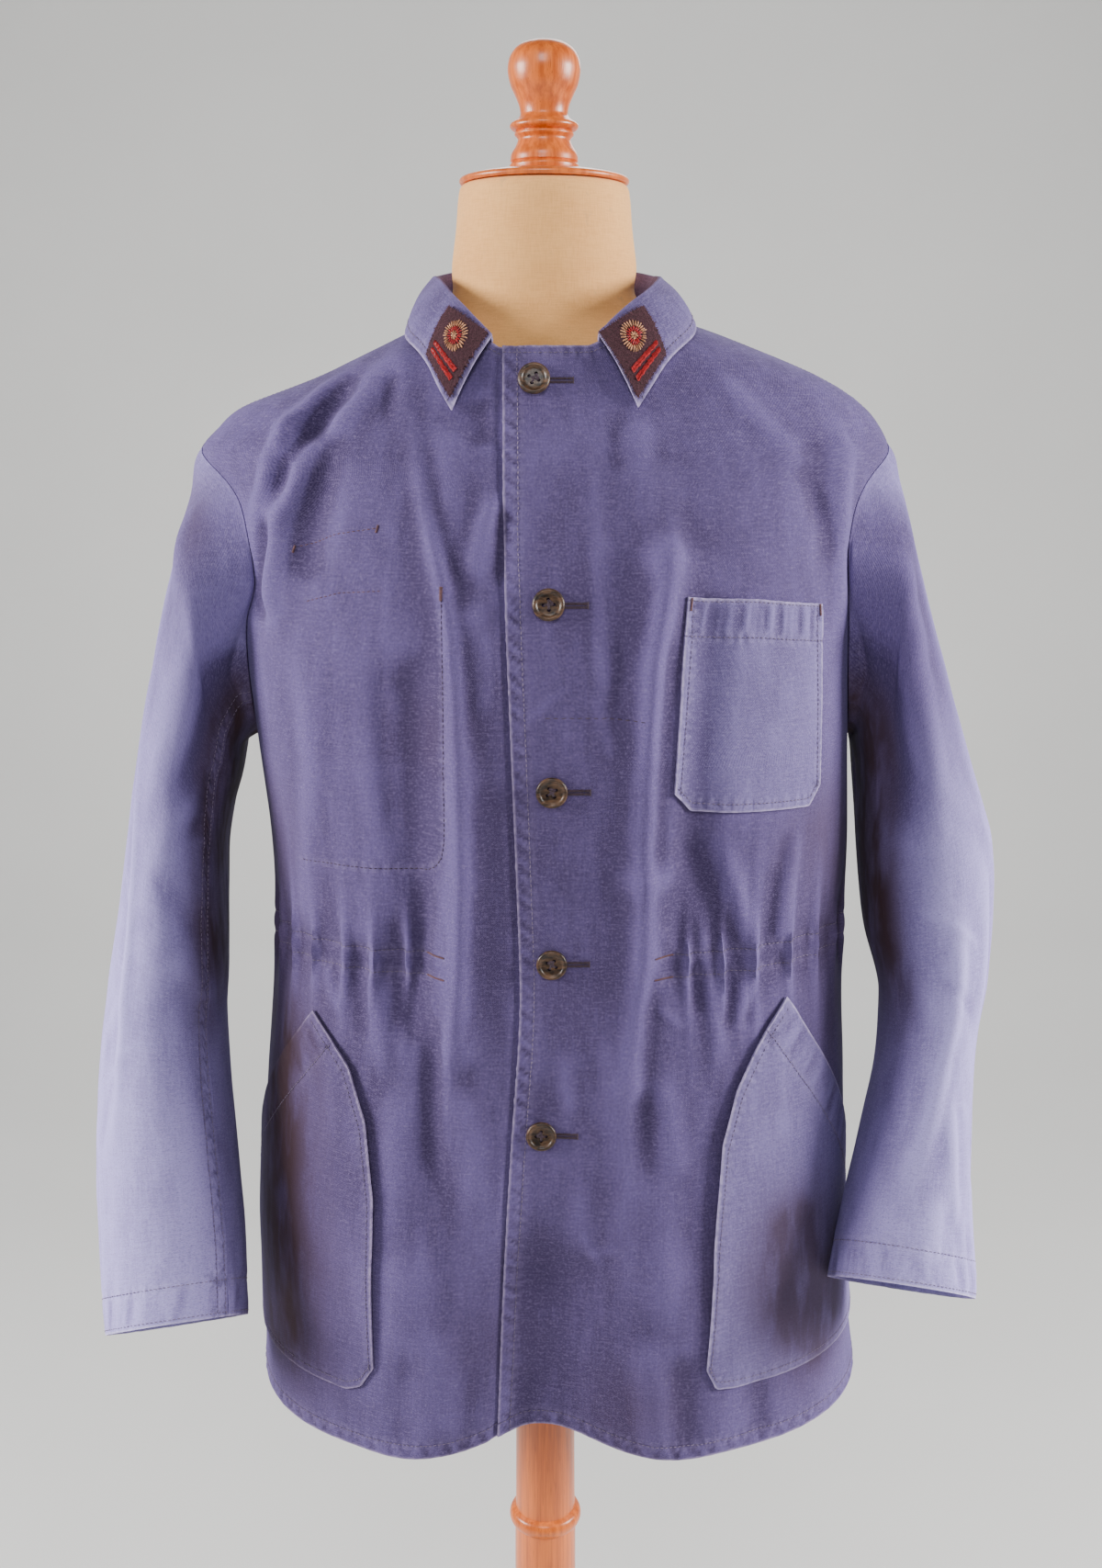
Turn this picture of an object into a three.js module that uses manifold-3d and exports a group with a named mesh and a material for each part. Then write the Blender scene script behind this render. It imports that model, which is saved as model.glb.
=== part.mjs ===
// A chore jacket worn on a limbless dress form with a turned wooden stand.
// Millimetres. Z is up and the floor is z = 0. The front faces -Y, and +X is on the viewer's right.
// The cloth is built as cut: two fronts, a back, two-piece sleeves, a collar and patch pockets, each a thin
// wall that ends at its own seams. A turn is an angle round the body in degrees, 0 at the front, 90 at +X.
import * as THREE from 'three';
import Module from 'manifold-3d';

// Cloth
const WALL = 1.5;            // thickness of the cloth
const SEAM = 0.35;           // space between two pieces at a seam
const LIFT = 0.5;            // space between a panel and what lies on it
const SLEEVE_SPACE = 0.6;    // space between the armhole edge and the sleeve head

// Front opening
const LAP = 45;              // how far the lower front reaches under the upper one
const LAP_STEP = 15;         // column spacing across the lap
const BUTTON_RADIUS = 10;
const BUTTON_HOLE = 1.1;
const BUTTON_HOLE_PITCH = 2.3;

// Collar
const ROLL = 2.7;            // half the width of the roll at the top of the collar

// Waist gathers, on each side of the fronts
const WAIST = 1063;
const GATHERS = 8;
const GATHER_DEPTH = 2.3;
const GATHER_REACH = 24;

// Dress form and stand
const SEAT = 0.6;            // space between the shoulders of the form and the cloth
const BUST_BOTTOM = 812;
const COLUMN_BOTTOM = 44.4;

// Level sections of the body of the jacket. left, right, front and back are the reach from the column axis,
// mid is how far back the widest line lies, square is the exponent of the corner (2 is an ellipse).
const RINGS = [
  { z: 690, left: 218, right: 242, front: 140, back: 155, mid: 30, square: 2.5 },
  { z: 743, left: 215, right: 234, front: 142, back: 151, mid: 26, square: 2.5 },
  { z: 850, left: 212, right: 224, front: 143, back: 141, mid: 18, square: 2.5 },
  { z: 950, left: 204, right: 220, front: 139, back: 130, mid: 12, square: 2.45 },
  { z: 1019, left: 197, right: 216, front: 135, back: 122, mid: 9, square: 2.4 },
  { z: 1063, left: 193, right: 215, front: 134, back: 120, mid: 7, square: 2.4 },
  { z: 1130, left: 194, right: 215, front: 137, back: 122, mid: 4, square: 2.4 },
  { z: 1195, left: 200, right: 212, front: 142, back: 127, mid: 2, square: 2.4 },
  { z: 1260, left: 206, right: 211, front: 142, back: 130, mid: 0, square: 2.35 },
  { z: 1330, left: 213, right: 219, front: 133, back: 128, mid: 0, square: 2.25 },
  { z: 1360, left: 219, right: 226, front: 124, back: 125, mid: 0, square: 2.2 },
  { z: 1398, left: 229, right: 232, front: 111, back: 120, mid: 0, square: 2.1 },
  { z: 1404, left: 223, right: 229, front: 108, back: 118, mid: 0, square: 2.05 },
  { z: 1418, left: 207, right: 218, front: 102, back: 114, mid: 0, square: 2 },
  { z: 1440, left: 151, right: 184, front: 95, back: 104, mid: 0, square: 2 },
  { z: 1457, left: 114, right: 143, front: 88, back: 93, mid: 0, square: 2 },
  { z: 1468, left: 91, right: 114, front: 82, back: 84, mid: 0, square: 2 },
  { z: 1478, left: 72, right: 85, front: 76, back: 73, mid: 0, square: 2 },
  { z: 1488, left: 66, right: 68, front: 70, back: 64, mid: 0, square: 2 },
];

// Levels of the rows of every body panel, at the seam side. columns is how many a front has past its lap.
const ROWS = [
  { z: 706, columns: 10 },
  { z: 735, columns: 10 },
  { z: 775, columns: 10 },
  { z: 820, columns: 10 },
  { z: 865, columns: 10 },
  { z: 910, columns: 10 },
  { z: 950, columns: 10 },
  { z: 985, columns: 10 },
  { z: 1015, columns: 10 },
  { z: 1034, columns: 32 },
  { z: 1050, columns: 32 },
  { z: 1064, columns: 32 },
  { z: 1078, columns: 32 },
  { z: 1094, columns: 32 },
  { z: 1114, columns: 10 },
  { z: 1150, columns: 10 },
  { z: 1195, columns: 10 },
  { z: 1203, columns: 10 },
  { z: 1222, columns: 10 },
  { z: 1246, columns: 10 },
  { z: 1274, columns: 10 },
  { z: 1304, columns: 10 },
  { z: 1334, columns: 10 },
  { z: 1362, columns: 10 },
  { z: 1384, columns: 10 },
  { z: 1398, columns: 9 },
  { z: 1410, columns: 9 },
  { z: 1425, columns: 8 },
  { z: 1440, columns: 8 },
  { z: 1457, columns: 7 },
  { z: 1472, columns: 6 },
  { z: 1488, columns: 6 },
];
const ARMPIT = 1195;
const SHOULDER_TIP = 1398;
const BACK_COLUMNS = 18;
const BACK_NECK_COLUMNS = 11;

// Where each row stops at the armhole, as a turn from the front and a turn from the back.
const ARMHOLE = [
  { z: 1195, front: 90, back: 90 },
  { z: 1203, front: 85.5, back: 85 },
  { z: 1222, front: 81, back: 79 },
  { z: 1264, front: 77, back: 73 },
  { z: 1304, front: 72.5, back: 69 },
  { z: 1334, front: 71.5, back: 68 },
  { z: 1362, front: 74, back: 70 },
  { z: 1384, front: 80, back: 77 },
  { z: 1398, front: 90, back: 90 },
];

// Edge of the upper front, down the middle.
const FRONT_EDGE = [
  { z: 706, x: -34 },
  { z: 843, x: -28 },
  { z: 942, x: -22 },
  { z: 1036, x: -16 },
  { z: 1130, x: -18 },
  { z: 1220, x: -21 },
  { z: 1306, x: -24 },
  { z: 1457, x: -26 },
];

// The neckline falls from the neck point to the middle of the front, and the hem rises there.
const NECK_DROP = 31;
const NECK_DROP_FROM = 1300;
const NECK_SHAPE = [
  { turn: 18, share: 0 },
  { turn: 36, share: 0.36 },
  { turn: 55, share: 0.68 },
  { turn: 75, share: 0.9 },
  { turn: 90, share: 1 },
];
const HEM_RISE = 20;
const HEM_RISE_WIDTH = 17;
const HEM_RISE_TO = 850;

// The largest folds, each a soft ridge (high above 0) or trough along a line seen from the front or the back.
const FOLDS = [
  { face: 'front', x0: 76, z0: 1325, x1: 67, z1: 1130, wide: 15, high: 7 },
  { face: 'front', x0: 67, z0: 1120, x1: 61, z1: 985, wide: 14, high: 5 },
  { face: 'front', x0: 101, z0: 1290, x1: 92, z1: 1090, wide: 16, high: -6 },
  { face: 'front', x0: -50, z0: 1290, x1: -57, z1: 1010, wide: 14, high: 6 },
  { face: 'front', x0: -80, z0: 1250, x1: -86, z1: 1030, wide: 17, high: -6 },
  { face: 'front', x0: -92, z0: 1446, x1: -158, z1: 1404, wide: 11, high: 4 },
  { face: 'front', x0: -160, z0: 1400, x1: -174, z1: 1300, wide: 12, high: 6 },
  { face: 'front', x0: -136, z0: 1398, x1: -150, z1: 1325, wide: 11, high: -5 },
  { face: 'front', x0: -62, z0: 1395, x1: -60, z1: 1310, wide: 11, high: 3 },
  { face: 'front', x0: 58, z0: 1400, x1: 70, z1: 1330, wide: 12, high: 3 },
  { face: 'front', x0: 170, z0: 1390, x1: 186, z1: 1330, wide: 10, high: -3 },
  { face: 'front', x0: -2, z0: 690, x1: 0, z1: 830, wide: 46, high: -17 },
  { face: 'front', x0: 0, z0: 860, x1: 0, z1: 960, wide: 30, high: -5 },
  { face: 'front', x0: 94, z0: 690, x1: 90, z1: 840, wide: 30, high: 4 },
  { face: 'front', x0: -98, z0: 690, x1: -92, z1: 840, wide: 28, high: 5 },
  { face: 'back', x0: -128, z0: 690, x1: -120, z1: 940, wide: 26, high: 8 },
  { face: 'back', x0: -64, z0: 690, x1: -60, z1: 960, wide: 26, high: -8 },
  { face: 'back', x0: 4, z0: 690, x1: 0, z1: 980, wide: 26, high: 7 },
  { face: 'back', x0: 70, z0: 690, x1: 66, z1: 950, wide: 26, high: -8 },
  { face: 'back', x0: 138, z0: 690, x1: 128, z1: 930, wide: 26, high: 8 },
  { face: 'back', x0: -150, z0: 1330, x1: -138, z1: 1170, wide: 15, high: 6 },
  { face: 'back', x0: 156, z0: 1330, x1: 142, z1: 1160, wide: 15, high: 6 },
  { face: 'back', x0: -60, z0: 1400, x1: -74, z1: 1250, wide: 18, high: 4 },
  { face: 'back', x0: 66, z0: 1390, x1: 80, z1: 1240, wide: 18, high: 4 },
];

// Level sleeve sections from the head down. out and in are the outer and inner ends of a section, mid is how
// far back its middle lies, deep is half of its depth and tilt is how much its plane rises to the front.
const SLEEVE_LEFT = [
  { outX: 240, outZ: 1362, inX: 212, inZ: 1188, mid: -1, deep: 73, tilt: 0 },
  { outX: 251, outZ: 1328, inX: 214, inZ: 1178, mid: -2, deep: 73, tilt: 0 },
  { outX: 262, outZ: 1288, inX: 217, inZ: 1163, mid: -4, deep: 71, tilt: 0 },
  { outX: 271, outZ: 1246, inX: 222, inZ: 1143, mid: -8, deep: 68, tilt: 0 },
  { outX: 281, outZ: 1195, inX: 226, inZ: 1117, mid: -14, deep: 65, tilt: 0 },
  { outX: 290, outZ: 1140, inX: 227, inZ: 1083, mid: -20, deep: 62, tilt: 0.03 },
  { outX: 298, outZ: 1085, inX: 227, inZ: 1043, mid: -27, deep: 59, tilt: 0.06 },
  { outX: 307, outZ: 1030, inX: 228, inZ: 1003, mid: -36, deep: 56, tilt: 0.12 },
  { outX: 314, outZ: 970, inX: 225, inZ: 958, mid: -48, deep: 53, tilt: 0.2 },
  { outX: 317, outZ: 905, inX: 219, inZ: 908, mid: -63, deep: 50, tilt: 0.32 },
  { outX: 315, outZ: 840, inX: 213, inZ: 853, mid: -79, deep: 46, tilt: 0.46 },
  { outX: 310, outZ: 779, inX: 210, inZ: 796, mid: -98, deep: 42, tilt: 0.58 },
];
const SLEEVE_RIGHT = [
  { outX: 243, outZ: 1364, inX: 218, inZ: 1188, mid: -1, deep: 73, tilt: 0 },
  { outX: 254, outZ: 1325, inX: 220, inZ: 1177, mid: -2, deep: 73, tilt: 0 },
  { outX: 267, outZ: 1280, inX: 221, inZ: 1160, mid: -4, deep: 71, tilt: 0 },
  { outX: 283, outZ: 1228, inX: 222, inZ: 1140, mid: -8, deep: 68, tilt: 0 },
  { outX: 299, outZ: 1175, inX: 223, inZ: 1115, mid: -14, deep: 65, tilt: 0 },
  { outX: 313, outZ: 1128, inX: 225, inZ: 1086, mid: -20, deep: 62, tilt: 0.03 },
  { outX: 316, outZ: 1083, inX: 229, inZ: 1056, mid: -26, deep: 59, tilt: 0.06 },
  { outX: 312, outZ: 1030, inX: 239, inZ: 1015, mid: -36, deep: 56, tilt: 0.12 },
  { outX: 304, outZ: 975, inX: 236, inZ: 966, mid: -48, deep: 53, tilt: 0.2 },
  { outX: 302, outZ: 915, inX: 223, inZ: 912, mid: -62, deep: 50, tilt: 0.32 },
  { outX: 301, outZ: 862, inX: 210, inZ: 867, mid: -78, deep: 46, tilt: 0.46 },
  { outX: 303, outZ: 807, inX: 199, inZ: 825, mid: -97, deep: 42, tilt: 0.58 },
];
const FRONT_SEAM_COLUMN = 2;     // columns round a sleeve, counted from the armpit past the front
const BACK_SEAM_COLUMN = 14;

// Collar sections round the neck. roll is the top of the fold from the neckline, edge is where the outer edge
// lies over the jacket.
const COLLAR = [
  { turn: 20, rollOut: 3, rollUp: 5, edgeTurn: 29.5, edgeZ: 1415, lift: 3 },
  { turn: 36, rollOut: 4, rollUp: 15, edgeTurn: 42, edgeZ: 1444, lift: 3 },
  { turn: 55, rollOut: 5, rollUp: 18, edgeTurn: 58, edgeZ: 1461.5, lift: 3.5 },
  { turn: 75, rollOut: 6, rollUp: 18, edgeTurn: 76, edgeZ: 1473.5, lift: 4 },
  { turn: 90, rollOut: 7, rollUp: 17, edgeTurn: 90, edgeZ: 1477, lift: 4 },
  { turn: 120, rollOut: 7, rollUp: 22, edgeTurn: 120, edgeZ: 1471, lift: 3.5 },
  { turn: 150, rollOut: 7, rollUp: 28, edgeTurn: 150, edgeZ: 1460, lift: 3 },
  { turn: 180, rollOut: 7, rollUp: 31, edgeTurn: 180, edgeZ: 1455, lift: 3 },
];
const COLLAR_LEFT_DROP = 6;      // the left edge lies lower, as its shoulder does

// Buttons on the middle of the front.
const BUTTONS = [
  { x: -6, z: 1436 },
  { x: 3, z: 1301 },
  { x: 5, z: 1184 },
  { x: 5, z: 1068 },
  { x: -2, z: 949 },
];
const BUTTON_PROFILE = [
  [0, 0],
  [8.4, 0],
  [10, 1.2],
  [10, 2.5],
  [9.1, 3.5],
  [7.6, 3.2],
  [6.6, 2.3],
  [0, 2.3],
];

// Outlines of what lies on the panels, as x and z seen from the front. side marks the side seam.
const CHEST_POCKET = [
  { x: 88, z: 1305 },
  { x: 82, z: 1181 },
  { x: 94, z: 1168 },
  { x: 173, z: 1164 },
  { x: 181, z: 1177 },
  { x: 178, z: 1296 },
];
const INNER_POCKET = [
  { x: -164, z: 1308 },
  { x: -170, z: 1127 },
  { x: -72, z: 1129 },
  { x: -63, z: 1140 },
  { x: -62, z: 1308 },
];
const LOWER_POCKET_LEFT = [
  { turn: -88, z: 887 },
  { turn: -88, z: 753 },
  { x: -137, z: 751 },
  { x: -126, z: 757 },
  { x: -116, z: 774 },
  { x: -113, z: 899 },
  { x: -118, z: 953 },
  { x: -129, z: 988 },
  { x: -140, z: 1003 },
  { x: -156, z: 1021 },
];
const LOWER_POCKET_RIGHT = [
  { x: 163, z: 1033 },
  { x: 144, z: 1009 },
  { x: 127, z: 975 },
  { x: 118, z: 939 },
  { x: 113, z: 864 },
  { x: 110, z: 775 },
  { x: 117, z: 759 },
  { x: 130, z: 757 },
  { turn: 88, z: 756 },
  { turn: 88, z: 857 },
];
const CASINGS = [
  { side: -1, start: 64, low: 1051.5, high: 1076.5 },
  { side: 1, start: 71, low: 1051.5, high: 1076.5 },
];
const BADGE = [
  { turn: 22, section: 0.47 },
  { turn: 22, section: 0.93 },
  { turn: 38, section: 0.92 },
  { turn: 46, section: 0.5 },
];
const BADGE_THICK = 1.6;

// Body of the form below its shoulders. Its shoulders follow the jacket's own sections.
const BUST = [
  { z: 812, left: 148, right: 148, front: 104, back: 106 },
  { z: 860, left: 163, right: 163, front: 110, back: 112 },
  { z: 950, left: 165, right: 165, front: 112, back: 112 },
  { z: 1060, left: 142, right: 142, front: 98, back: 95 },
  { z: 1180, left: 158, right: 158, front: 114, back: 106 },
  { z: 1270, left: 165, right: 165, front: 118, back: 112 },
  { z: 1340, left: 178, right: 180, front: 110, back: 108 },
  { z: 1385, left: 192, right: 199, front: 96, back: 104 },
  { z: 1406, left: 198, right: 208, front: 91, back: 101 },
];
const SEATED_ROWS = [1427, 1440, 1457, 1468];
const FRONT_INSET = 13;
const BACK_INSET = 9;
const NECK = [
  { z: 1476, left: 69.5, right: 78, front: 62, back: 63 },
  { z: 1489, left: 62.4, right: 62.8, front: 59, back: 59.5 },
  { z: 1511, left: 61.5, right: 61.5, front: 59, back: 59 },
  { z: 1534, left: 58.5, right: 58.5, front: 57, back: 57 },
  { z: 1558.5, left: 56.5, right: 56.5, front: 56, back: 56 },
  { z: 1562, left: 54.5, right: 54.5, front: 54, back: 54 },
];
const BUST_COLUMNS = 24;

// Turned profiles, radius and height.
const CAP_PROFILE = [
  [0, 1562.4],
  [55, 1562.4],
  [56, 1564],
  [54, 1566.5],
  [40, 1569.4],
  [23, 1571],
  [0, 1571.3],
];
const FINIAL_PROFILE = [
  [0, 1571.7],
  [22.3, 1571.7],
  [22.6, 1575],
  [21.4, 1576],
  [22.3, 1577],
  [20.6, 1583],
  [17.3, 1590.5],
  [19.3, 1593.2],
  [18.4, 1595],
  [22.3, 1597],
  [22, 1600],
  [16.6, 1603.4],
  [15.6, 1606.6],
  [17.2, 1612],
  [21, 1621],
  [23.7, 1633],
  [22.2, 1641],
  [17.6, 1647],
  [9.5, 1650.3],
  [0, 1651],
];
const COLUMN_PROFILE = [
  [0, COLUMN_BOTTOM],
  [30, COLUMN_BOTTOM],
  [30, 56],
  [26, 66],
  [24.5, 90],
  [24, 518],
  [23.6, 557],
  [27, 559.5],
  [28.3, 564],
  [27, 568.5],
  [23.3, 571],
  [23, 618],
  [22, BUST_BOTTOM - SEAM],
  [0, BUST_BOTTOM - SEAM],
];
const BASE_PROFILE = [
  [0, 0],
  [186, 0],
  [190, 4],
  [190, 14],
  [184, 21],
  [168, 25],
  [70, 33],
  [42, 38],
  [40, COLUMN_BOTTOM - SEAM],
  [0, COLUMN_BOTTOM - SEAM],
];

const wasm = await Module();
wasm.setup();

const CLOTH = { color: 0x5b5886, roughness: 0.92, metalness: 0 };
const FELT = { color: 0x3c1f24, roughness: 0.95, metalness: 0 };
const HORN = { color: 0x3a2a22, roughness: 0.4, metalness: 0 };
const LINEN = { color: 0xe2c9ab, roughness: 0.9, metalness: 0 };
const WOOD = { color: 0xb4703a, roughness: 0.5, metalness: 0 };

const jacket = new THREE.Group();
jacket.name = 'chore_jacket_on_form';

// Value of one column of a table at a key, by a smooth curve through its rows.
function along(rows, key, keyName, valueName) {
  const last = rows.length - 1;
  const at = Math.min(Math.max(key, rows[0][keyName]), rows[last][keyName]);
  let i = 0;
  while (i < last - 1 && at > rows[i + 1][keyName]) {
    i += 1;
  }
  const slope = (k) => {
    const step = rows[k + 1][keyName] - rows[k][keyName];
    return (rows[k + 1][valueName] - rows[k][valueName]) / step;
  };
  const tangent = (k) => {
    if (k === 0) {
      return slope(0);
    }
    if (k === last) {
      return slope(last - 1);
    }
    const before = rows[k][keyName] - rows[k - 1][keyName];
    const after = rows[k + 1][keyName] - rows[k][keyName];
    return (slope(k - 1) * after + slope(k) * before) / (before + after);
  };
  const step = rows[i + 1][keyName] - rows[i][keyName];
  const t = (at - rows[i][keyName]) / step;
  const bend = 3 * t * t - 2 * t * t * t;
  const rise = (t * t * t - 2 * t * t + t) * step * tangent(i);
  const fall = (t * t * t - t * t) * step * tangent(i + 1);
  return rows[i][valueName] * (1 - bend) + rows[i + 1][valueName] * bend + rise + fall;
}

function smoothStep(low, high, value) {
  const t = Math.min(Math.max((value - low) / (high - low), 0), 1);
  return t * t * (3 - 2 * t);
}

const radians = THREE.MathUtils.degToRad;

// Point of the jacket's body at a turn and a height, without folds.
function plainPoint(turn, z) {
  const angle = radians(turn);
  const across = Math.sin(angle);
  const ahead = Math.cos(angle);
  const mid = along(RINGS, z, 'z', 'mid');
  const side = along(RINGS, z, 'z', across < 0 ? 'left' : 'right');
  const depth = ahead > 0 ? along(RINGS, z, 'z', 'front') + mid : along(RINGS, z, 'z', 'back') - mid;
  const power = along(RINGS, z, 'z', 'square');
  const sum = (Math.abs(across) / side) ** power + (Math.abs(ahead) / depth) ** power;
  const reach = sum ** (-1 / power);
  return new THREE.Vector3(reach * across, mid - reach * ahead, z);
}

function normalOf(surface, turn, z) {
  const round = surface(turn + 0.4, z).sub(surface(turn - 0.4, z));
  const top = RINGS[RINGS.length - 1].z;
  const up = surface(turn, Math.min(z + 1, top)).sub(surface(turn, Math.min(z + 1, top) - 2));
  return round.cross(up).normalize();
}

function distanceToLine(x, z, fold) {
  const runX = fold.x1 - fold.x0;
  const runZ = fold.z1 - fold.z0;
  const t = ((x - fold.x0) * runX + (z - fold.z0) * runZ) / (runX * runX + runZ * runZ);
  const near = Math.min(Math.max(t, 0), 1);
  return Math.hypot(x - fold.x0 - near * runX, z - fold.z0 - near * runZ);
}

function foldHeight(turn, point) {
  const face = Math.cos(radians(turn)) > 0 ? 'front' : 'back';
  let height = 0;
  for (const fold of FOLDS.filter((row) => row.face === face)) {
    const far = distanceToLine(point.x, point.z, fold) / fold.wide;
    height += fold.high * Math.exp(-far * far);
  }
  return height * smoothStep(92, 82, Math.abs(turn)) + height * smoothStep(88, 98, Math.abs(turn));
}

// The fronts are gathered at the waist, from the ends of the casing to the side seams.
function gatherHeight(turn, z) {
  const start = turn < 0 ? 27 : 27.5;
  const run = (Math.abs(turn) - start) / (88 - start);
  if (run < 0 || run > 1) {
    return 0;
  }
  const away = (z - WAIST) / GATHER_REACH;
  const ends = smoothStep(0, 0.08, run) * smoothStep(1, 0.92, run);
  return GATHER_DEPTH * ends * Math.exp(-away * away) * (Math.cos(run * GATHERS * 2 * Math.PI) - 0.6);
}

// Point of the jacket's body with its folds.
function bodyPoint(turn, z) {
  const point = plainPoint(turn, z);
  const folds = foldHeight(turn, point) + gatherHeight(turn, z);
  return point.addScaledVector(normalOf(plainPoint, turn, z), folds);
}

// Turn at which the body has a given x on its front.
function turnAt(x, z) {
  let turn = 0;
  for (let i = 0; i < 24; i += 1) {
    const point = plainPoint(turn, z);
    const ahead = along(RINGS, z, 'z', 'mid') - point.y;
    turn = THREE.MathUtils.radToDeg(Math.atan2(x, ahead)) * 0.7 + turn * 0.3;
  }
  return turn;
}

// Height of a panel's row at a turn: rows bend down to the neckline and up at the middle of the hem.
function rowHeight(z, turn) {
  const from = Math.abs(turn);
  const share = from > 90 ? 1 : along(NECK_SHAPE, from, 'turn', 'share');
  const neck = NECK_DROP * smoothStep(NECK_DROP_FROM, 1488, z) * (1 - share);
  const wide = from / HEM_RISE_WIDTH;
  const hem = from > 90 ? 0 : HEM_RISE * Math.exp(-wide * wide) * smoothStep(HEM_RISE_TO, 706, z);
  return z - neck + hem;
}

// A sheet is a list of points with normals and a place on the surface, and the triangles between them.
function addPoint(sheet, position, normal, u, v) {
  sheet.points.push({ position, normal, u, v });
  return sheet.points.length - 1;
}

function newSheet() {
  return { points: [], triangles: [] };
}

// Joins two rows of points, each spread evenly, that may have different counts.
function joinRows(sheet, low, high) {
  const lowSteps = low.length - 1;
  const highSteps = high.length - 1;
  let i = 0;
  let j = 0;
  while (i < lowSteps || j < highSteps) {
    if (j === highSteps || (i < lowSteps && (i + 1) * highSteps <= (j + 1) * lowSteps)) {
      sheet.triangles.push([low[i], low[i + 1], high[j]]);
      i += 1;
    } else {
      sheet.triangles.push([low[i], high[j + 1], high[j]]);
      j += 1;
    }
  }
}

// Turns a sheet into a closed wall between two offsets from its points.
function wallBetween(sheet, outer, inner) {
  const count = sheet.points.length;
  const positions = [];
  for (const offset of [outer, inner]) {
    for (const point of sheet.points) {
      const place = point.position.clone().addScaledVector(point.normal, offset);
      positions.push(place.x, place.y, place.z);
    }
  }
  const index = [];
  const edges = new Map();
  for (const [a, b, c] of sheet.triangles) {
    index.push(a, b, c, a + count, c + count, b + count);
    for (const [from, to] of [[a, b], [b, c], [c, a]]) {
      edges.set(`${from}_${to}`, [from, to]);
    }
  }
  for (const [from, to] of edges.values()) {
    if (!edges.has(`${to}_${from}`)) {
      index.push(to, from, from + count, to, from + count, to + count);
    }
  }
  const geometry = new THREE.BufferGeometry();
  geometry.setAttribute('position', new THREE.Float32BufferAttribute(positions, 3));
  geometry.setIndex(index);
  return geometry.toNonIndexed();
}

function addMesh(name, geometry, look) {
  geometry.computeVertexNormals();
  const mesh = new THREE.Mesh(geometry, new THREE.MeshStandardMaterial(look));
  mesh.name = name;
  jacket.add(mesh);
}

// One body panel from rows of turns. Each row has two blocks that meet at its split.
function panelSheet(rowTurns, sinkOf) {
  const sheet = newSheet();
  const rows = rowTurns.map(({ z, turns }) => turns.map((turn) => {
    const height = rowHeight(z, turn);
    const normal = normalOf(bodyPoint, turn, height);
    const position = bodyPoint(turn, height).addScaledVector(normal, -sinkOf(turn, height));
    return addPoint(sheet, position, normal, turn, height);
  }));
  rows.slice(1).forEach((row, i) => {
    const splits = [rowTurns[i].split, rowTurns[i + 1].split];
    joinRows(sheet, rows[i].slice(0, splits[0] + 1), row.slice(0, splits[1] + 1));
    joinRows(sheet, rows[i].slice(splits[0]), row.slice(splits[1]));
  });
  return { sheet, rows };
}

function seamTurn(z, from) {
  const gap = THREE.MathUtils.radToDeg(SEAM / 2 / 200);
  if (z <= ARMPIT || z >= SHOULDER_TIP) {
    return 90 - gap;
  }
  return Math.min(along(ARMHOLE, z, 'z', from), 90 - gap);
}

function spread(start, end, count) {
  return Array.from({ length: count + 1 }, (_, i) => start + (end - start) * (i / count));
}

// The fronts: columns step across the lap from the edge, then spread evenly to the seam.
function frontRows(side) {
  return ROWS.map(({ z, columns }) => {
    const height = rowHeight(z, 0);
    const edge = along(FRONT_EDGE, Math.min(height, 1457), 'z', 'x');
    const upper = spread(0, 4 * LAP_STEP, 4);
    const under = [LAP, LAP - LAP_STEP, LAP - 2 * LAP_STEP, 0, -6];
    const lap = (side > 0 ? upper : under).map((step) => turnAt(edge + step, height));
    const rest = spread(lap[4], side * seamTurn(z, 'front'), columns).slice(1);
    const turns = [...lap, ...rest];
    return side > 0 ? { z, turns, split: 4 } : { z, turns: turns.reverse(), split: rest.length };
  });
}

function lapSink(turn, z) {
  const edge = along(FRONT_EDGE, Math.min(z, 1457), 'z', 'x');
  return plainPoint(turn, z).x > edge - 3 ? WALL + LIFT : 0;
}

function backRows() {
  return ROWS.map(({ z }) => {
    const start = 180 - seamTurn(z, 'back');
    const columns = z > 1480 ? BACK_NECK_COLUMNS : BACK_COLUMNS;
    return { z, turns: spread(start, 360 - start, columns), split: 0 };
  });
}

const frontLeft = panelSheet(frontRows(1), () => 0);
const frontRight = panelSheet(frontRows(-1), lapSink);
const back = panelSheet(backRows(), () => 0);
addMesh('front_left', wallBetween(frontLeft.sheet, 0, -WALL), CLOTH);
addMesh('front_right', wallBetween(frontRight.sheet, 0, -WALL), CLOTH);
addMesh('back', wallBetween(back.sheet, 0, -WALL), CLOTH);

// Points of the armhole edge, from the armpit up the front and down the back.
function armholeLoop(side) {
  const front = side > 0 ? frontLeft : frontRight;
  const first = ROWS.findIndex((row) => row.z === ARMPIT);
  const last = ROWS.findIndex((row) => row.z === SHOULDER_TIP);
  const endOf = (panel, row, atEnd) => {
    const points = panel.rows[row];
    return panel.sheet.points[atEnd ? points[points.length - 1] : points[0]].position.clone();
  };
  const loop = [];
  for (let row = first; row <= last; row += 1) {
    loop.push(endOf(front, row, side > 0));
  }
  for (let row = last - 1; row > first; row -= 1) {
    loop.push(endOf(back, row, side < 0));
  }
  return loop;
}

function sectionPoint(row, side, angle) {
  const out = new THREE.Vector3(side * row.outX, row.mid, row.outZ);
  const inner = new THREE.Vector3(side * row.inX, row.mid, row.inZ);
  const half = out.clone().sub(inner).multiplyScalar(0.5);
  const ahead = row.deep * Math.sin(angle);
  const point = out.add(inner).multiplyScalar(0.5).addScaledVector(half, Math.cos(angle));
  return point.add(new THREE.Vector3(0, -ahead, row.tilt * ahead));
}

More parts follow.
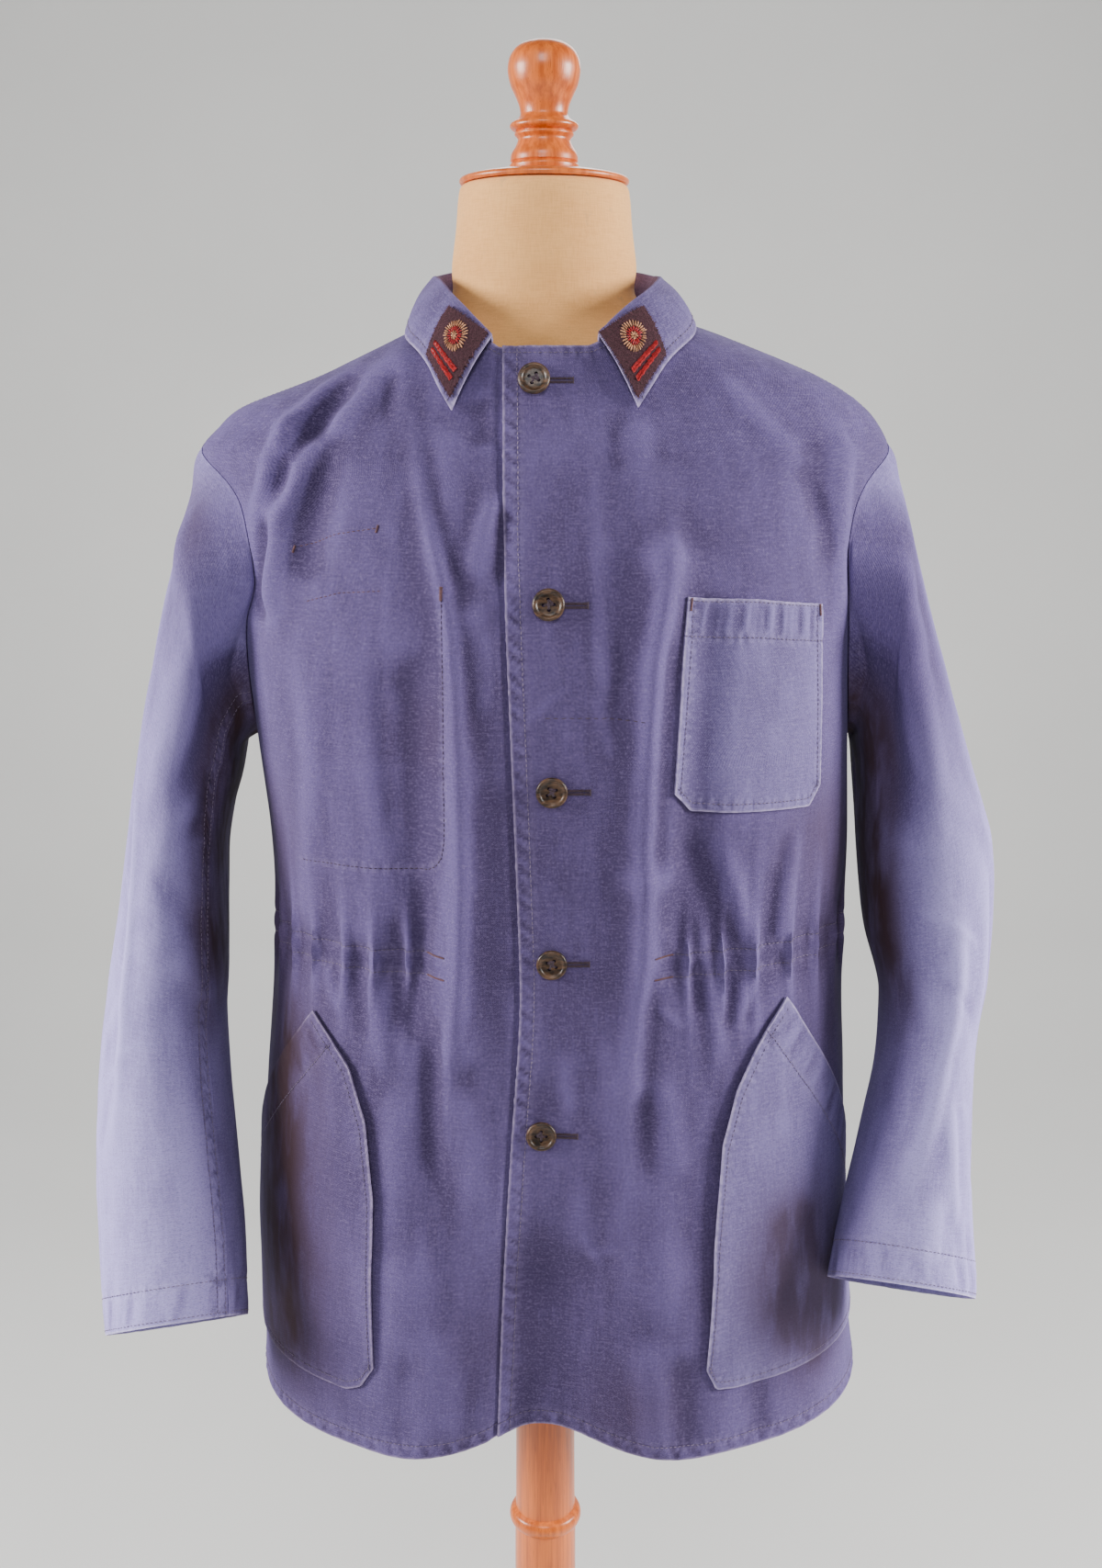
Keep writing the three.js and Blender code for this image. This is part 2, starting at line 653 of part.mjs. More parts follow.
// Each sleeve starts at the armhole edge and turns into the table's sections.
function sleeveRings(side, table) {
  const loop = armholeLoop(side);
  const head = table[0];
  const out = new THREE.Vector3(side * head.outX, 0, head.outZ);
  const inner = new THREE.Vector3(side * head.inX, 0, head.inZ);
  const half = out.clone().sub(inner).multiplyScalar(0.5);
  const middle = out.clone().add(inner).multiplyScalar(0.5);
  const angles = loop.map((point) => {
    const offset = point.clone().sub(middle);
    const up = (offset.z - 4) / half.z;
    return Math.atan2(-offset.y / head.deep, up);
  });
  const rings = [SLEEVE_SPACE, 6].map((away, i) => loop.map((point, k) => {
    const target = sectionPoint(head, side, angles[k]);
    const start = point.clone().add(new THREE.Vector3(side * away, 0, 0));
    return start.add(target.sub(point).multiply(new THREE.Vector3(0, i * 0.3, i * 0.3)));
  }));
  table.forEach((row) => rings.push(angles.map((angle) => sectionPoint(row, side, angle))));
  return rings;
}

function ringNormals(rings, side) {
  return rings.map((ring, i) => ring.map((_, k) => {
    const count = ring.length;
    const round = ring[(k + 1) % count].clone().sub(ring[(k + count - 1) % count]);
    const down = rings[Math.min(i + 1, rings.length - 1)][k].clone().sub(rings[Math.max(i - 1, 0)][k]);
    return round.cross(down).multiplyScalar(-side).normalize();
  }));
}

function sleevePiece(rings, normals, side, from, to) {
  const sheet = newSheet();
  const count = rings[0].length;
  const rows = rings.map((ring, i) => spread(from, to, to - from).map((step) => {
    const k = step % count;
    const next = ring[(step + 1) % count].clone().sub(ring[(step + count - 1) % count]).normalize();
    const shift = step === from ? SEAM / 2 : step === to ? -SEAM / 2 : 0;
    const position = ring[k].clone().addScaledVector(next, shift);
    return addPoint(sheet, position, normals[i][k], step, i);
  }));
  rows.slice(1).forEach((row, i) => {
    const pair = side > 0 ? [row, rows[i]] : [rows[i], row];
    joinRows(sheet, pair[0], pair[1]);
  });
  return sheet;
}

for (const [name, side, table] of [['left', 1, SLEEVE_RIGHT], ['right', -1, SLEEVE_LEFT]]) {
  const rings = sleeveRings(side, table);
  const normals = ringNormals(rings, side);
  const count = rings[0].length;
  const upper = sleevePiece(rings, normals, side, FRONT_SEAM_COLUMN, BACK_SEAM_COLUMN);
  const under = sleevePiece(rings, normals, side, BACK_SEAM_COLUMN, count + FRONT_SEAM_COLUMN);
  addMesh(`sleeve_${name}_upper`, wallBetween(upper, 0, -WALL), CLOTH);
  addMesh(`sleeve_${name}_under`, wallBetween(under, 0, -WALL), CLOTH);
}

// The collar stands on the neckline, rolls over and falls to its outer edge.
function collarStations() {
  const topOf = (panel) => panel.rows[panel.rows.length - 1].map((index) => panel.sheet.points[index]);
  const right = topOf(frontLeft).slice(4);
  const left = topOf(frontRight).slice(0, -4);
  return [...right, ...topOf(back).slice(1, -1), ...left];
}

function collarSection(station) {
  const turn = station.u < 0 ? station.u + 360 : station.u;
  const from = turn > 180 ? 360 - turn : turn;
  const side = turn > 180 ? -1 : 1;
  const value = (name) => along(COLLAR, from, 'turn', name);
  const outward = new THREE.Vector3(station.normal.x, station.normal.y, 0).normalize();
  const base = station.position.clone();
  const point = (out, up) => base.clone().addScaledVector(outward, out).add(new THREE.Vector3(0, 0, up));
  const drop = side < 0 ? COLLAR_LEFT_DROP * smoothStep(30, 80, from) * smoothStep(180, 120, from) : 0;
  const edgeTurn = side * value('edgeTurn');
  const edgeZ = value('edgeZ') - drop;
  const edge = bodyPoint(edgeTurn, edgeZ).addScaledVector(normalOf(bodyPoint, edgeTurn, edgeZ), value('lift'));
  const fallStart = point(value('rollOut') + ROLL, value('rollUp') - 2.2);
  const fall = [0.36, 0.7].map((share) => {
    const bulge = Math.sin(share * Math.PI) * 2.2;
    return fallStart.clone().lerp(edge, share).addScaledVector(outward, bulge).add(new THREE.Vector3(0, 0, bulge));
  });
  return [
    point(-1, 0.7),
    point(value('rollOut') - ROLL, value('rollUp') - 2.2),
    point(value('rollOut'), value('rollUp')),
    fallStart,
    ...fall,
    edge,
  ];
}

function gridSheet(grid, places) {
  const sheet = newSheet();
  const rows = grid.map((line, i) => line.map((position, k) => {
    const round = grid[Math.min(i + 1, grid.length - 1)][k].clone().sub(grid[Math.max(i - 1, 0)][k]);
    const across = line[Math.min(k + 1, line.length - 1)].clone().sub(line[Math.max(k - 1, 0)]);
    const place = places(i, k);
    return addPoint(sheet, position, across.cross(round).normalize(), place.u, place.v);
  }));
  rows.slice(1).forEach((row, i) => joinRows(sheet, rows[i], row));
  return sheet;
}

const stations = collarStations();
const collarGrid = stations.map(collarSection);
const collar = gridSheet(collarGrid, (i, k) => {
  const turn = stations[i].u < 0 ? stations[i].u + 360 : stations[i].u;
  return { u: turn, v: k / (collarGrid[0].length - 1) };
});
addMesh('collar', wallBetween(collar, 0, -WALL), CLOTH);

// Cuts a triangle's corners to one side of a line, in the sheet's own places.
function clipByLine(corners, a, b) {
  const sideOf = (corner) => (b.u - a.u) * (corner.v - a.v) - (b.v - a.v) * (corner.u - a.u);
  const kept = [];
  corners.forEach((corner, i) => {
    const next = corners[(i + 1) % corners.length];
    const here = sideOf(corner);
    const there = sideOf(next);
    if (here >= 0) {
      kept.push(corner);
    }
    if (here >= 0 !== there >= 0) {
      const t = here / (here - there);
      kept.push({
        u: corner.u + (next.u - corner.u) * t,
        v: corner.v + (next.v - corner.v) * t,
        position: corner.position.clone().lerp(next.position, t),
        normal: corner.normal.clone().lerp(next.normal, t),
      });
    }
  });
  return kept;
}

// The part of a sheet inside an outline that bulges everywhere, so that it lies flat on the sheet's facets.
function cutFrom(source, outline) {
  const area = outline.reduce((sum, a, i) => {
    const b = outline[(i + 1) % outline.length];
    return sum + a.u * b.v - b.u * a.v;
  }, 0);
  const ordered = area > 0 ? outline : [...outline].reverse();
  const sheet = newSheet();
  const known = new Map();
  const indexOf = (corner) => {
    const key = `${Math.round(corner.u * 2000)}_${Math.round(corner.v * 2000)}`;
    if (!known.has(key)) {
      known.set(key, addPoint(sheet, corner.position, corner.normal, corner.u, corner.v));
    }
    return known.get(key);
  };
  for (const triangle of source.triangles) {
    let corners = triangle.map((index) => source.points[index]);
    ordered.forEach((a, i) => {
      corners = corners.length ? clipByLine(corners, a, ordered[(i + 1) % ordered.length]) : corners;
    });
    const loop = corners.map(indexOf).filter((index, i, all) => index !== all[(i + 1) % all.length]);
    for (let i = 1; i < loop.length - 1; i += 1) {
      sheet.triangles.push([loop[0], loop[i], loop[i + 1]]);
    }
  }
  return sheet;
}

function placesOf(outline) {
  return outline.map((row) => ({ u: row.turn ?? turnAt(row.x, row.z), v: row.z }));
}

function onPanel(name, panel, outline) {
  const sheet = cutFrom(panel.sheet, placesOf(outline));
  addMesh(name, wallBetween(sheet, LIFT + WALL, LIFT), CLOTH);
}

function behindPanel(name, panel, outline) {
  const sheet = cutFrom(panel.sheet, placesOf(outline));
  addMesh(name, wallBetween(sheet, -WALL - LIFT, -2 * WALL - LIFT), CLOTH);
}

onPanel('chest_pocket', frontLeft, CHEST_POCKET);
onPanel('lower_pocket_left', frontLeft, LOWER_POCKET_RIGHT);
onPanel('lower_pocket_right', frontRight, LOWER_POCKET_LEFT);
behindPanel('inner_pocket', frontRight, INNER_POCKET);

for (const { side, start, low, high } of CASINGS) {
  const outline = [
    { x: side * start, z: low },
    { turn: side * 88.3, z: low },
    { turn: side * 88.3, z: high },
    { x: side * start, z: high },
  ];
  behindPanel(side > 0 ? 'waist_casing_left' : 'waist_casing_right', side > 0 ? frontLeft : frontRight, outline);
}

for (const [name, side] of [['badge_left', 1], ['badge_right', -1]]) {
  const outline = BADGE.map((row) => ({ u: side > 0 ? row.turn : 360 - row.turn, v: row.section }));
  addMesh(name, wallBetween(cutFrom(collar, outline), LIFT + BADGE_THICK, LIFT), FELT);
}

// Turned pieces spin about the column's axis.
function turned(profile, segments) {
  const points = profile.map(([radius, height]) => new THREE.Vector2(radius, height));
  return new THREE.LatheGeometry(points, segments).rotateX(Math.PI / 2);
}

function toManifold(geometry) {
  const bare = geometry.clone();
  bare.deleteAttribute('normal');
  bare.deleteAttribute('uv');
  const joined = mergeByPlace(bare);
  return new wasm.Manifold(new wasm.Mesh({
    numProp: 3,
    vertProperties: joined.vertices,
    triVerts: joined.triangles,
  }));
}

function mergeByPlace(geometry) {
  const source = geometry.index ? geometry.toNonIndexed() : geometry;
  const place = source.getAttribute('position');
  const known = new Map();
  const vertices = [];
  const corners = [];
  for (let i = 0; i < place.count; i += 1) {
    const values = [place.getX(i), place.getY(i), place.getZ(i)];
    const key = values.map((value) => Math.round(value * 1e4)).join('_');
    if (!known.has(key)) {
      known.set(key, vertices.length / 3);
      vertices.push(...values);
    }
    corners.push(known.get(key));
  }
  const triangles = [];
  for (let i = 0; i < corners.length; i += 3) {
    const [a, b, c] = corners.slice(i, i + 3);
    if (a !== b && b !== c && c !== a) {
      triangles.push(a, b, c);
    }
  }
  return { vertices: new Float32Array(vertices), triangles: new Uint32Array(triangles) };
}

function fromManifold(solid) {
  const mesh = solid.getMesh();
  const geometry = new THREE.BufferGeometry();
  const places = [];
  for (let i = 0; i < mesh.vertProperties.length; i += mesh.numProp) {
    places.push(mesh.vertProperties[i], mesh.vertProperties[i + 1], mesh.vertProperties[i + 2]);
  }
  geometry.setAttribute('position', new THREE.Float32BufferAttribute(places, 3));
  geometry.setIndex(Array.from(mesh.triVerts));
  return geometry.toNonIndexed();
}

function buttonGeometry() {
  let solid = toManifold(turned(BUTTON_PROFILE, 14));
  for (const [right, up] of [[1, 1], [-1, 1], [-1, -1], [1, -1]]) {
    const hole = new THREE.CylinderGeometry(BUTTON_HOLE, BUTTON_HOLE, 8, 6).rotateX(Math.PI / 2);
    hole.translate(right * BUTTON_HOLE_PITCH, up * BUTTON_HOLE_PITCH, 1);
    solid = solid.subtract(toManifold(hole));
  }
  return fromManifold(solid);
}

// How far the cloth rises above a button's own plane under its rim.
function riseUnderRim(x, z, normal) {
  const middle = bodyPoint(turnAt(x, z), z);
  const rises = spread(0, 360, 8).map((angle) => {
    const height = z + BUTTON_RADIUS * Math.sin(radians(angle));
    const across = x + BUTTON_RADIUS * Math.cos(radians(angle));
    return bodyPoint(turnAt(across, height), height).sub(middle).dot(normal);
  });
  return Math.max(0, ...rises);
}

BUTTONS.forEach(({ x, z }, i) => {
  const turn = turnAt(x, z);
  const normal = normalOf(bodyPoint, turn, z);
  const spin = new THREE.Quaternion().setFromUnitVectors(new THREE.Vector3(0, 0, 1), normal);
  const lift = LIFT + riseUnderRim(x, z, normal);
  const place = bodyPoint(turn, z).addScaledVector(normal, lift);
  const geometry = buttonGeometry().applyQuaternion(spin).translate(place.x, place.y, place.z);
  addMesh(`button_${i + 1}`, geometry, HORN);
});

// Level loop of the form.
function bustLoop(row, power) {
  return spread(0, 360, BUST_COLUMNS).slice(0, -1).map((turn) => {
    const across = Math.sin(radians(turn));
    const ahead = Math.cos(radians(turn));
    const side = across < 0 ? row.left : row.right;
    const depth = ahead > 0 ? row.front : row.back;
    const sum = (Math.abs(across) / side) ** power + (Math.abs(ahead) / depth) ** power;
    const reach = sum ** (-1 / power);
    return new THREE.Vector3(reach * across, -reach * ahead, row.z);
  });
}

function loftSolid(loops) {
  const triangles = [];
  const count = loops[0].length;
  const bottom = new THREE.Vector3(0, 0, loops[0][0].z);
  const top = new THREE.Vector3(0, 0, loops[loops.length - 1][0].z);
  for (let k = 0; k < count; k += 1) {
    const next = (k + 1) % count;
    triangles.push(bottom, loops[0][next], loops[0][k]);
    triangles.push(top, loops[loops.length - 1][k], loops[loops.length - 1][next]);
    for (let i = 0; i < loops.length - 1; i += 1) {
      triangles.push(loops[i][k], loops[i][next], loops[i + 1][next]);
      triangles.push(loops[i][k], loops[i + 1][next], loops[i + 1][k]);
    }
  }
  return new THREE.BufferGeometry().setFromPoints(triangles);
}

const shoulders = SEATED_ROWS.map((z) => ({
  z: z - (WALL + SEAT) / Math.cos(radians(23.5)),
  left: along(RINGS, z, 'z', 'left'),
  right: along(RINGS, z, 'z', 'right'),
  front: along(RINGS, z, 'z', 'front') - FRONT_INSET,
  back: along(RINGS, z, 'z', 'back') - BACK_INSET,
}));
const bustRows = [...BUST, ...shoulders, ...NECK];
addMesh('form_bust', loftSolid(bustRows.map((row) => bustLoop(row, 2))), LINEN);
addMesh('neck_cap', turned(CAP_PROFILE, 24), WOOD);
addMesh('finial', turned(FINIAL_PROFILE, 16), WOOD);
addMesh('column', turned(COLUMN_PROFILE, 18), WOOD);
addMesh('base', turned(BASE_PROFILE, 28), WOOD);

export default jacket;
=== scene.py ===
"""A faded cotton chore jacket, worn on a limbless linen dress form with a turned wooden stand."""

import logging
import math
from collections.abc import Callable, Sequence
from dataclasses import dataclass, field
from enum import Enum

import bpy
import numpy as np
from mathutils import Matrix, Vector
from mathutils.kdtree import KDTree


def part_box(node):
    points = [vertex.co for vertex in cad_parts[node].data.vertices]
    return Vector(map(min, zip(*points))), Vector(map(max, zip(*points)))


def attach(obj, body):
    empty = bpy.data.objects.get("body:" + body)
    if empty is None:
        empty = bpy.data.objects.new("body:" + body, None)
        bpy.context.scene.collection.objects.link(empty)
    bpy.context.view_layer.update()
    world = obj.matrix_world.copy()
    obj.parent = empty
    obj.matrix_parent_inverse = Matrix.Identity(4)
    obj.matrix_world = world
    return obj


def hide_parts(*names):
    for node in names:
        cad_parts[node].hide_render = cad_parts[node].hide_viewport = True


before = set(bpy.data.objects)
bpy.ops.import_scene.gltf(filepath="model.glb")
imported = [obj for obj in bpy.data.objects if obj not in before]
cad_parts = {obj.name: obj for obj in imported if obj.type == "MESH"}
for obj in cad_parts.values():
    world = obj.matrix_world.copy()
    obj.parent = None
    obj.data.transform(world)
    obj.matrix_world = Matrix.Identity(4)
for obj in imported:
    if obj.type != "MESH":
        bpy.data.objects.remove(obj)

LOG = logging.getLogger("chore_jacket")
MM = 0.001
# Thickness of the cloth, and heights on the body: armpit, shoulder point, neckline, front's top corner and hem.
WALL = 1.5
ARMPIT = 1195.0
TIP = 1398.0
TOP = 1488.0
FRONT_TOP = 1457.0
HEM = 706.0
# Rows of stitches of the waist casing, and the turn at which what is sewn to a front ends beside the side seam.
CASING_ROWS = (1071.0, 1056.0)
SIDE_TURN = 88.0
# How far under a front's outer face the pieces behind it lie.
BEHIND = -2 * WALL - 0.7
TINY = 1e-9
ROOT = "root"
Colour = tuple[float, float, float]
Place = tuple[float, float]


class Table:
    """A short table with named columns, read between its rows by a smooth curve."""

    def __init__(self, columns: str, rows: Sequence[Sequence[float]]) -> None:
        """Keeps the rows.

        Args:
            columns: The column names, with spaces between them. The first one is the key.
            rows: The numbers, a row for each section.
        """
        self.names = columns.split()
        self.values = np.array(rows, float)

    def column(self, name: str) -> np.ndarray:
        """Returns a whole column."""
        return self.values[:, self.names.index(name)]

    def at(self, key: np.ndarray | float, name: str) -> np.ndarray:
        """Reads one column at any key.

        Args:
            key: Values of the first column.
            name: The column to read.

        Returns:
            The column's values there.
        """
        keys, values = self.values[:, 0], self.column(name)
        step = np.diff(keys)
        slope = np.diff(values) / step
        tangent = np.concatenate([slope[:1], (slope[:-1] * step[1:] + slope[1:] * step[:-1])
                                  / (step[1:] + step[:-1]), slope[-1:]])
        key = np.clip(np.asarray(key, float), keys[0], keys[-1])
        i = np.clip(np.searchsorted(keys, key, side="right") - 1, 0, len(keys) - 2)
        t = (key - keys[i]) / step[i]
        bend = t * t * (3 - 2 * t)
        rise = (t ** 3 - 2 * t ** 2 + t) * step[i] * tangent[i]
        fall = (t ** 3 - t ** 2) * step[i] * tangent[i + 1]
        return values[i] * (1 - bend) + values[i + 1] * bend + rise + fall


# Level sections of the jacket's body, in millimetres from the column's axis.
RINGS = Table("z left right front back mid square", [
    (690, 218, 242, 140, 155, 30, 2.5), (743, 215, 234, 142, 151, 26, 2.5),
    (850, 212, 224, 143, 141, 18, 2.5), (950, 204, 220, 139, 130, 12, 2.45),
    (1019, 197, 216, 135, 122, 9, 2.4), (1063, 193, 215, 134, 120, 7, 2.4),
    (1130, 194, 215, 137, 122, 4, 2.4), (1195, 200, 212, 142, 127, 2, 2.4),
    (1260, 206, 211, 142, 130, 0, 2.35), (1330, 213, 219, 133, 128, 0, 2.25),
    (1360, 219, 226, 124, 125, 0, 2.2), (1398, 229, 232, 111, 120, 0, 2.1),
    (1404, 223, 229, 108, 118, 0, 2.05), (1418, 207, 218, 102, 114, 0, 2),
    (1440, 151, 184, 95, 104, 0, 2), (1457, 114, 143, 88, 93, 0, 2),
    (1468, 91, 114, 82, 84, 0, 2), (1478, 72, 85, 76, 73, 0, 2), (1488, 66, 68, 70, 64, 0, 2)])

# Where the armhole edge lies, as turns from the front and from the back.
ARMHOLE = Table("z front back", [
    (1195, 90, 90), (1203, 85.5, 85), (1222, 81, 79), (1264, 77, 73), (1304, 72.5, 69),
    (1334, 71.5, 68), (1362, 74, 70), (1384, 80, 77), (1398, 90, 90)])

FRONT_EDGE = Table("z x", [
    (706, -34), (843, -28), (942, -22), (1036, -16), (1130, -18), (1220, -21), (1306, -24), (1457, -26)])

NECK_SHAPE = Table("turn share", [(18, 0), (36, 0.36), (55, 0.68), (75, 0.9), (90, 1)])

# Folds of the body: face (1 front, -1 back), the line seen from there, width and height.
FOLDS = Table("face x0 z0 x1 z1 wide high", [
    (1, 76, 1325, 67, 1130, 15, 7), (1, 67, 1120, 61, 985, 14, 5), (1, 101, 1290, 92, 1090, 16, -6),
    (1, -50, 1290, -57, 1010, 14, 6), (1, -80, 1250, -86, 1030, 17, -6),
    (1, -92, 1446, -158, 1404, 11, 4), (1, -160, 1400, -174, 1300, 12, 6),
    (1, -136, 1398, -150, 1325, 11, -5), (1, -62, 1395, -60, 1310, 11, 3),
    (1, 58, 1400, 70, 1330, 12, 3), (1, 170, 1390, 186, 1330, 10, -3), (1, -2, 690, 0, 830, 46, -17),
    (1, 0, 860, 0, 960, 30, -5), (1, 94, 690, 90, 840, 30, 4), (1, -98, 690, -92, 840, 28, 5),
    (-1, -128, 690, -120, 940, 26, 8), (-1, -64, 690, -60, 960, 26, -8), (-1, 4, 690, 0, 980, 26, 7),
    (-1, 70, 690, 66, 950, 26, -8), (-1, 138, 690, 128, 930, 26, 8), (-1, -150, 1330, -138, 1170, 15, 6),
    (-1, 156, 1330, 142, 1160, 15, 6), (-1, -60, 1400, -74, 1250, 18, 4), (-1, 66, 1390, 80, 1240, 18, 4)])

# Smaller creases that only the fine cloth carries: face, width and height, then x and z of each point of its line.
CREASES: tuple[tuple[float, ...], ...] = (
    (1, 6, 5, -115, 1449, -141, 1426, -160, 1404, -172, 1387, -182, 1361, -190, 1319),
    (1, 7, -9, -114, 1440, -134, 1421, -150, 1404, -163, 1387, -167, 1364, -173, 1353),
    (1, 7, 4.5, -97, 1432, -123, 1413, -143, 1393, -156, 1370, -172, 1338, -176, 1306, -174, 1270),
    (1, 9, -10, -178, 1353, -182, 1329, -187, 1305, -186, 1281), (1, 4, -1.6, -93, 1444, -96, 1427, -99, 1410),
    (1, 6, 3.4, -89, 1444, -83, 1415, -78, 1388, -73, 1355, -61, 1311, -57, 1283, -54, 1243, -53, 1190, -52,
        1129, -54, 1073, -57, 1035, -63, 1003, -69, 946),
    (1, 8, -4.5, -68, 1028, -72, 1003, -74, 977, -75, 945, -72, 913),
    (1, 7, -2.6, -70, 1404, -63, 1355, -55, 1322, -49, 1277, -46, 1232, -42, 1191),
    (1, 6, 2.6, -27, 1371, -36, 1350, -42, 1328, -41, 1311), (1, 5, -3.2, -24, 1363, -26, 1333, -28, 1311),
    (1, 9, -3, -41, 1427, -38, 1410, -37, 1393), (1, 6, 1.2, -36, 1289, -35, 1255, -38, 1226),
    (1, 5, -2.2, -122, 1076, -125, 1053, -120, 1009),
    (1, 7, -1.6, -101, 1276, -102, 1230, -101, 1182, -98, 1158, -95, 1139),
    (1, 5, -2.4, -99, 1095, -97, 1069, -93, 1045, -89, 1014), (1, 7, -2.6, -75, 1122, -82, 1074),
    (1, 3, 1.3, -86, 1058, -76, 1043, -68, 1027), (1, 5, 2, -148, 1061, -145, 1042, -136, 1022),
    (1, 6, 1.8, -111, 1055, -109, 1024, -106, 980),
    (1, 9, 2.4, -154, 1273, -151, 1182, -158, 1117, -162, 1083, -161, 1044),
    (1, 6.5, 3.2, 75, 1388, 81, 1355, 78, 1327, 74, 1299, 69, 1266, 67, 1226, 66, 1136, 65, 1098, 63, 1023, 60,
        985), (1, 8, -6, 85, 1305, 79, 1277, 75, 1231, 72, 1184, 71, 1154, 71, 1123, 70, 1092),
    (1, 8, -4.2, 70, 1073, 68, 1035, 66, 1004, 66, 972, 69, 934, 73, 908),
    (1, 5, 1.6, 30, 1377, 33, 1333, 34, 1289, 36, 1255, 40, 1232), (1, 5, -1.3, 45, 1283, 48, 1261, 43, 1232),
    (1, 8, -1.8, 48, 1421, 45, 1399, 47, 1377),
    (1, 7, 2.2, 104, 1444, 121, 1427, 144, 1404, 167, 1384, 182, 1364, 191, 1328),
    (1, 6, -2.8, 162, 1387, 172, 1370, 178, 1347),
    (1, 6, 4.5, 187, 1415, 192, 1392, 192, 1352, 191, 1316, 196, 1267),
    (1, 9, -4, 85, 1156, 99, 1134, 109, 1108, 116, 1089, 122, 1065),
    (1, 6, 2.6, 117, 1148, 127, 1106, 135, 1073, 135, 1048, 130, 1026, 125, 1005),
    (1, 5, 2.6, 166, 1151, 162, 1120, 159, 1082, 158, 1060), (1, 4, -2.2, 152, 1122, 148, 1071),
    (1, 5, 2.6, 98, 1109, 105, 1077, 110, 1045, 114, 1013, 113, 981),
    (1, 4.5, -2.6, 97, 1068, 99, 1046, 101, 1027), (1, 4, -2.2, 123, 1062, 123, 1037, 120, 1012),
    (1, 4, -2, 140, 1053, 139, 1034, 134, 1016), (1, 3, 1.2, 73, 1092, 82, 1080, 89, 1070),
    (1, 3, 1.2, 72, 1038, 82, 1029, 91, 1021), (1, 9, 1.8, 77, 991, 84, 959, 92, 913),
    (1, 9, 1.4, 36, 1024, 43, 986, 48, 941), (1, 9, 1.6, -56, 985, -47, 941, -45, 896),
    (1, 12, 2.2, -77, 813, -71, 779, -65, 716), (1, 12, -2.6, -90, 797, -97, 761, -103, 706),
    (1, 11, -2.6, -11, 775, -14, 754, -18, 716), (1, 12, -3, 89, 793, 94, 764, 98, 706),
    (1, 11, 2.4, 67, 808, 72, 766, 78, 706), (1, 10, -2.4, 145, 762, 150, 739, 153, 706),
    (1, 3, 0.8, -13, 1227, 3, 1241, 16, 1251), (1, 5, 1.2, 28, 1250, 46, 1200), (1, 4, 1, 24, 880, 40, 850),
    (1, 4, 1, 28, 860, 52, 868), (1, 6, 1.4, 12, 1010, 20, 960), (1, 6, -1.8, 150, 1110, 160, 1150),
    (1, 14, -2, -70, 960, -66, 800), (1, 14, 2, 74, 960, 82, 800), (1, 13, -2.2, 40, 980, 34, 830),
    (1, 12, 2, -100, 985, -104, 860), (-1, 10, 2, -40, 1440, -120, 1400), (-1, 10, 2, 40, 1440, 118, 1402),
    (-1, 9, -3, -118, 1360, -124, 1300, -128, 1230), (-1, 9, -3, 124, 1360, 130, 1300, 132, 1236),
    (-1, 11, 2.6, -110, 1300, -84, 1240, -60, 1190), (-1, 11, 2.4, 108, 1300, 80, 1236, 56, 1180),
    (-1, 14, -2, -30, 1330, -20, 1260, -16, 1190), (-1, 14, 1.8, 34, 1320, 30, 1250, 26, 1180),
    (-1, 8, 3, -170, 1110, -130, 1084, -86, 1072), (-1, 8, 3, 172, 1114, 128, 1080, 84, 1066),
    (-1, 8, -2.6, -156, 1024, -110, 1040, -66, 1052), (-1, 8, -2.6, 160, 1020, 112, 1036, 74, 1048),
    (-1, 9, 2, -26, 1086, 4, 1072, 34, 1070), (-1, 13, -2.2, -100, 980, -98, 860, -96, 760),
    (-1, 13, 2.2, 104, 970, 102, 850, 100, 750), (-1, 7, 2.4, -182, 1186, -164, 1150, -146, 1116),
    (-1, 7, 2.4, 184, 1186, 166, 1148, 146, 1112), (-1, 8, -2, -176, 1260, -150, 1220, -136, 1170),
    (-1, 8, -2, 176, 1262, 152, 1222, 134, 1168))

# Sleeve sections: outer and inner ends, how far back the middle is, half depth, and rise to the front.
SLEEVE_RIGHT_SIDE = Table("t outX outZ inX inZ mid deep tilt", [
    (2, 243, 1364, 218, 1188, -1, 73, 0), (3, 254, 1325, 220, 1177, -2, 73, 0),
    (4, 267, 1280, 221, 1160, -4, 71, 0), (5, 283, 1228, 222, 1140, -8, 68, 0),
    (6, 299, 1175, 223, 1115, -14, 65, 0), (7, 313, 1128, 225, 1086, -20, 62, 0.03),
    (8, 316, 1083, 229, 1056, -26, 59, 0.06), (9, 312, 1030, 239, 1015, -36, 56, 0.12),
    (10, 304, 975, 236, 966, -48, 53, 0.2), (11, 302, 915, 223, 912, -62, 50, 0.32),
    (12, 301, 862, 210, 867, -78, 46, 0.46), (13, 303, 807, 199, 825, -97, 42, 0.58)])
SLEEVE_LEFT_SIDE = Table("t outX outZ inX inZ mid deep tilt", [
    (2, 240, 1362, 212, 1188, -1, 73, 0), (3, 251, 1328, 214, 1178, -2, 73, 0),
    (4, 262, 1288, 217, 1163, -4, 71, 0), (5, 271, 1246, 222, 1143, -8, 68, 0),
    (6, 281, 1195, 226, 1117, -14, 65, 0), (7, 290, 1140, 227, 1083, -20, 62, 0.03),
    (8, 298, 1085, 227, 1043, -27, 59, 0.06), (9, 307, 1030, 228, 1003, -36, 56, 0.12),
    (10, 314, 970, 225, 958, -48, 53, 0.2), (11, 317, 905, 219, 908, -63, 50, 0.32),
    (12, 315, 840, 213, 853, -79, 46, 0.46), (13, 310, 779, 210, 796, -98, 42, 0.58)])

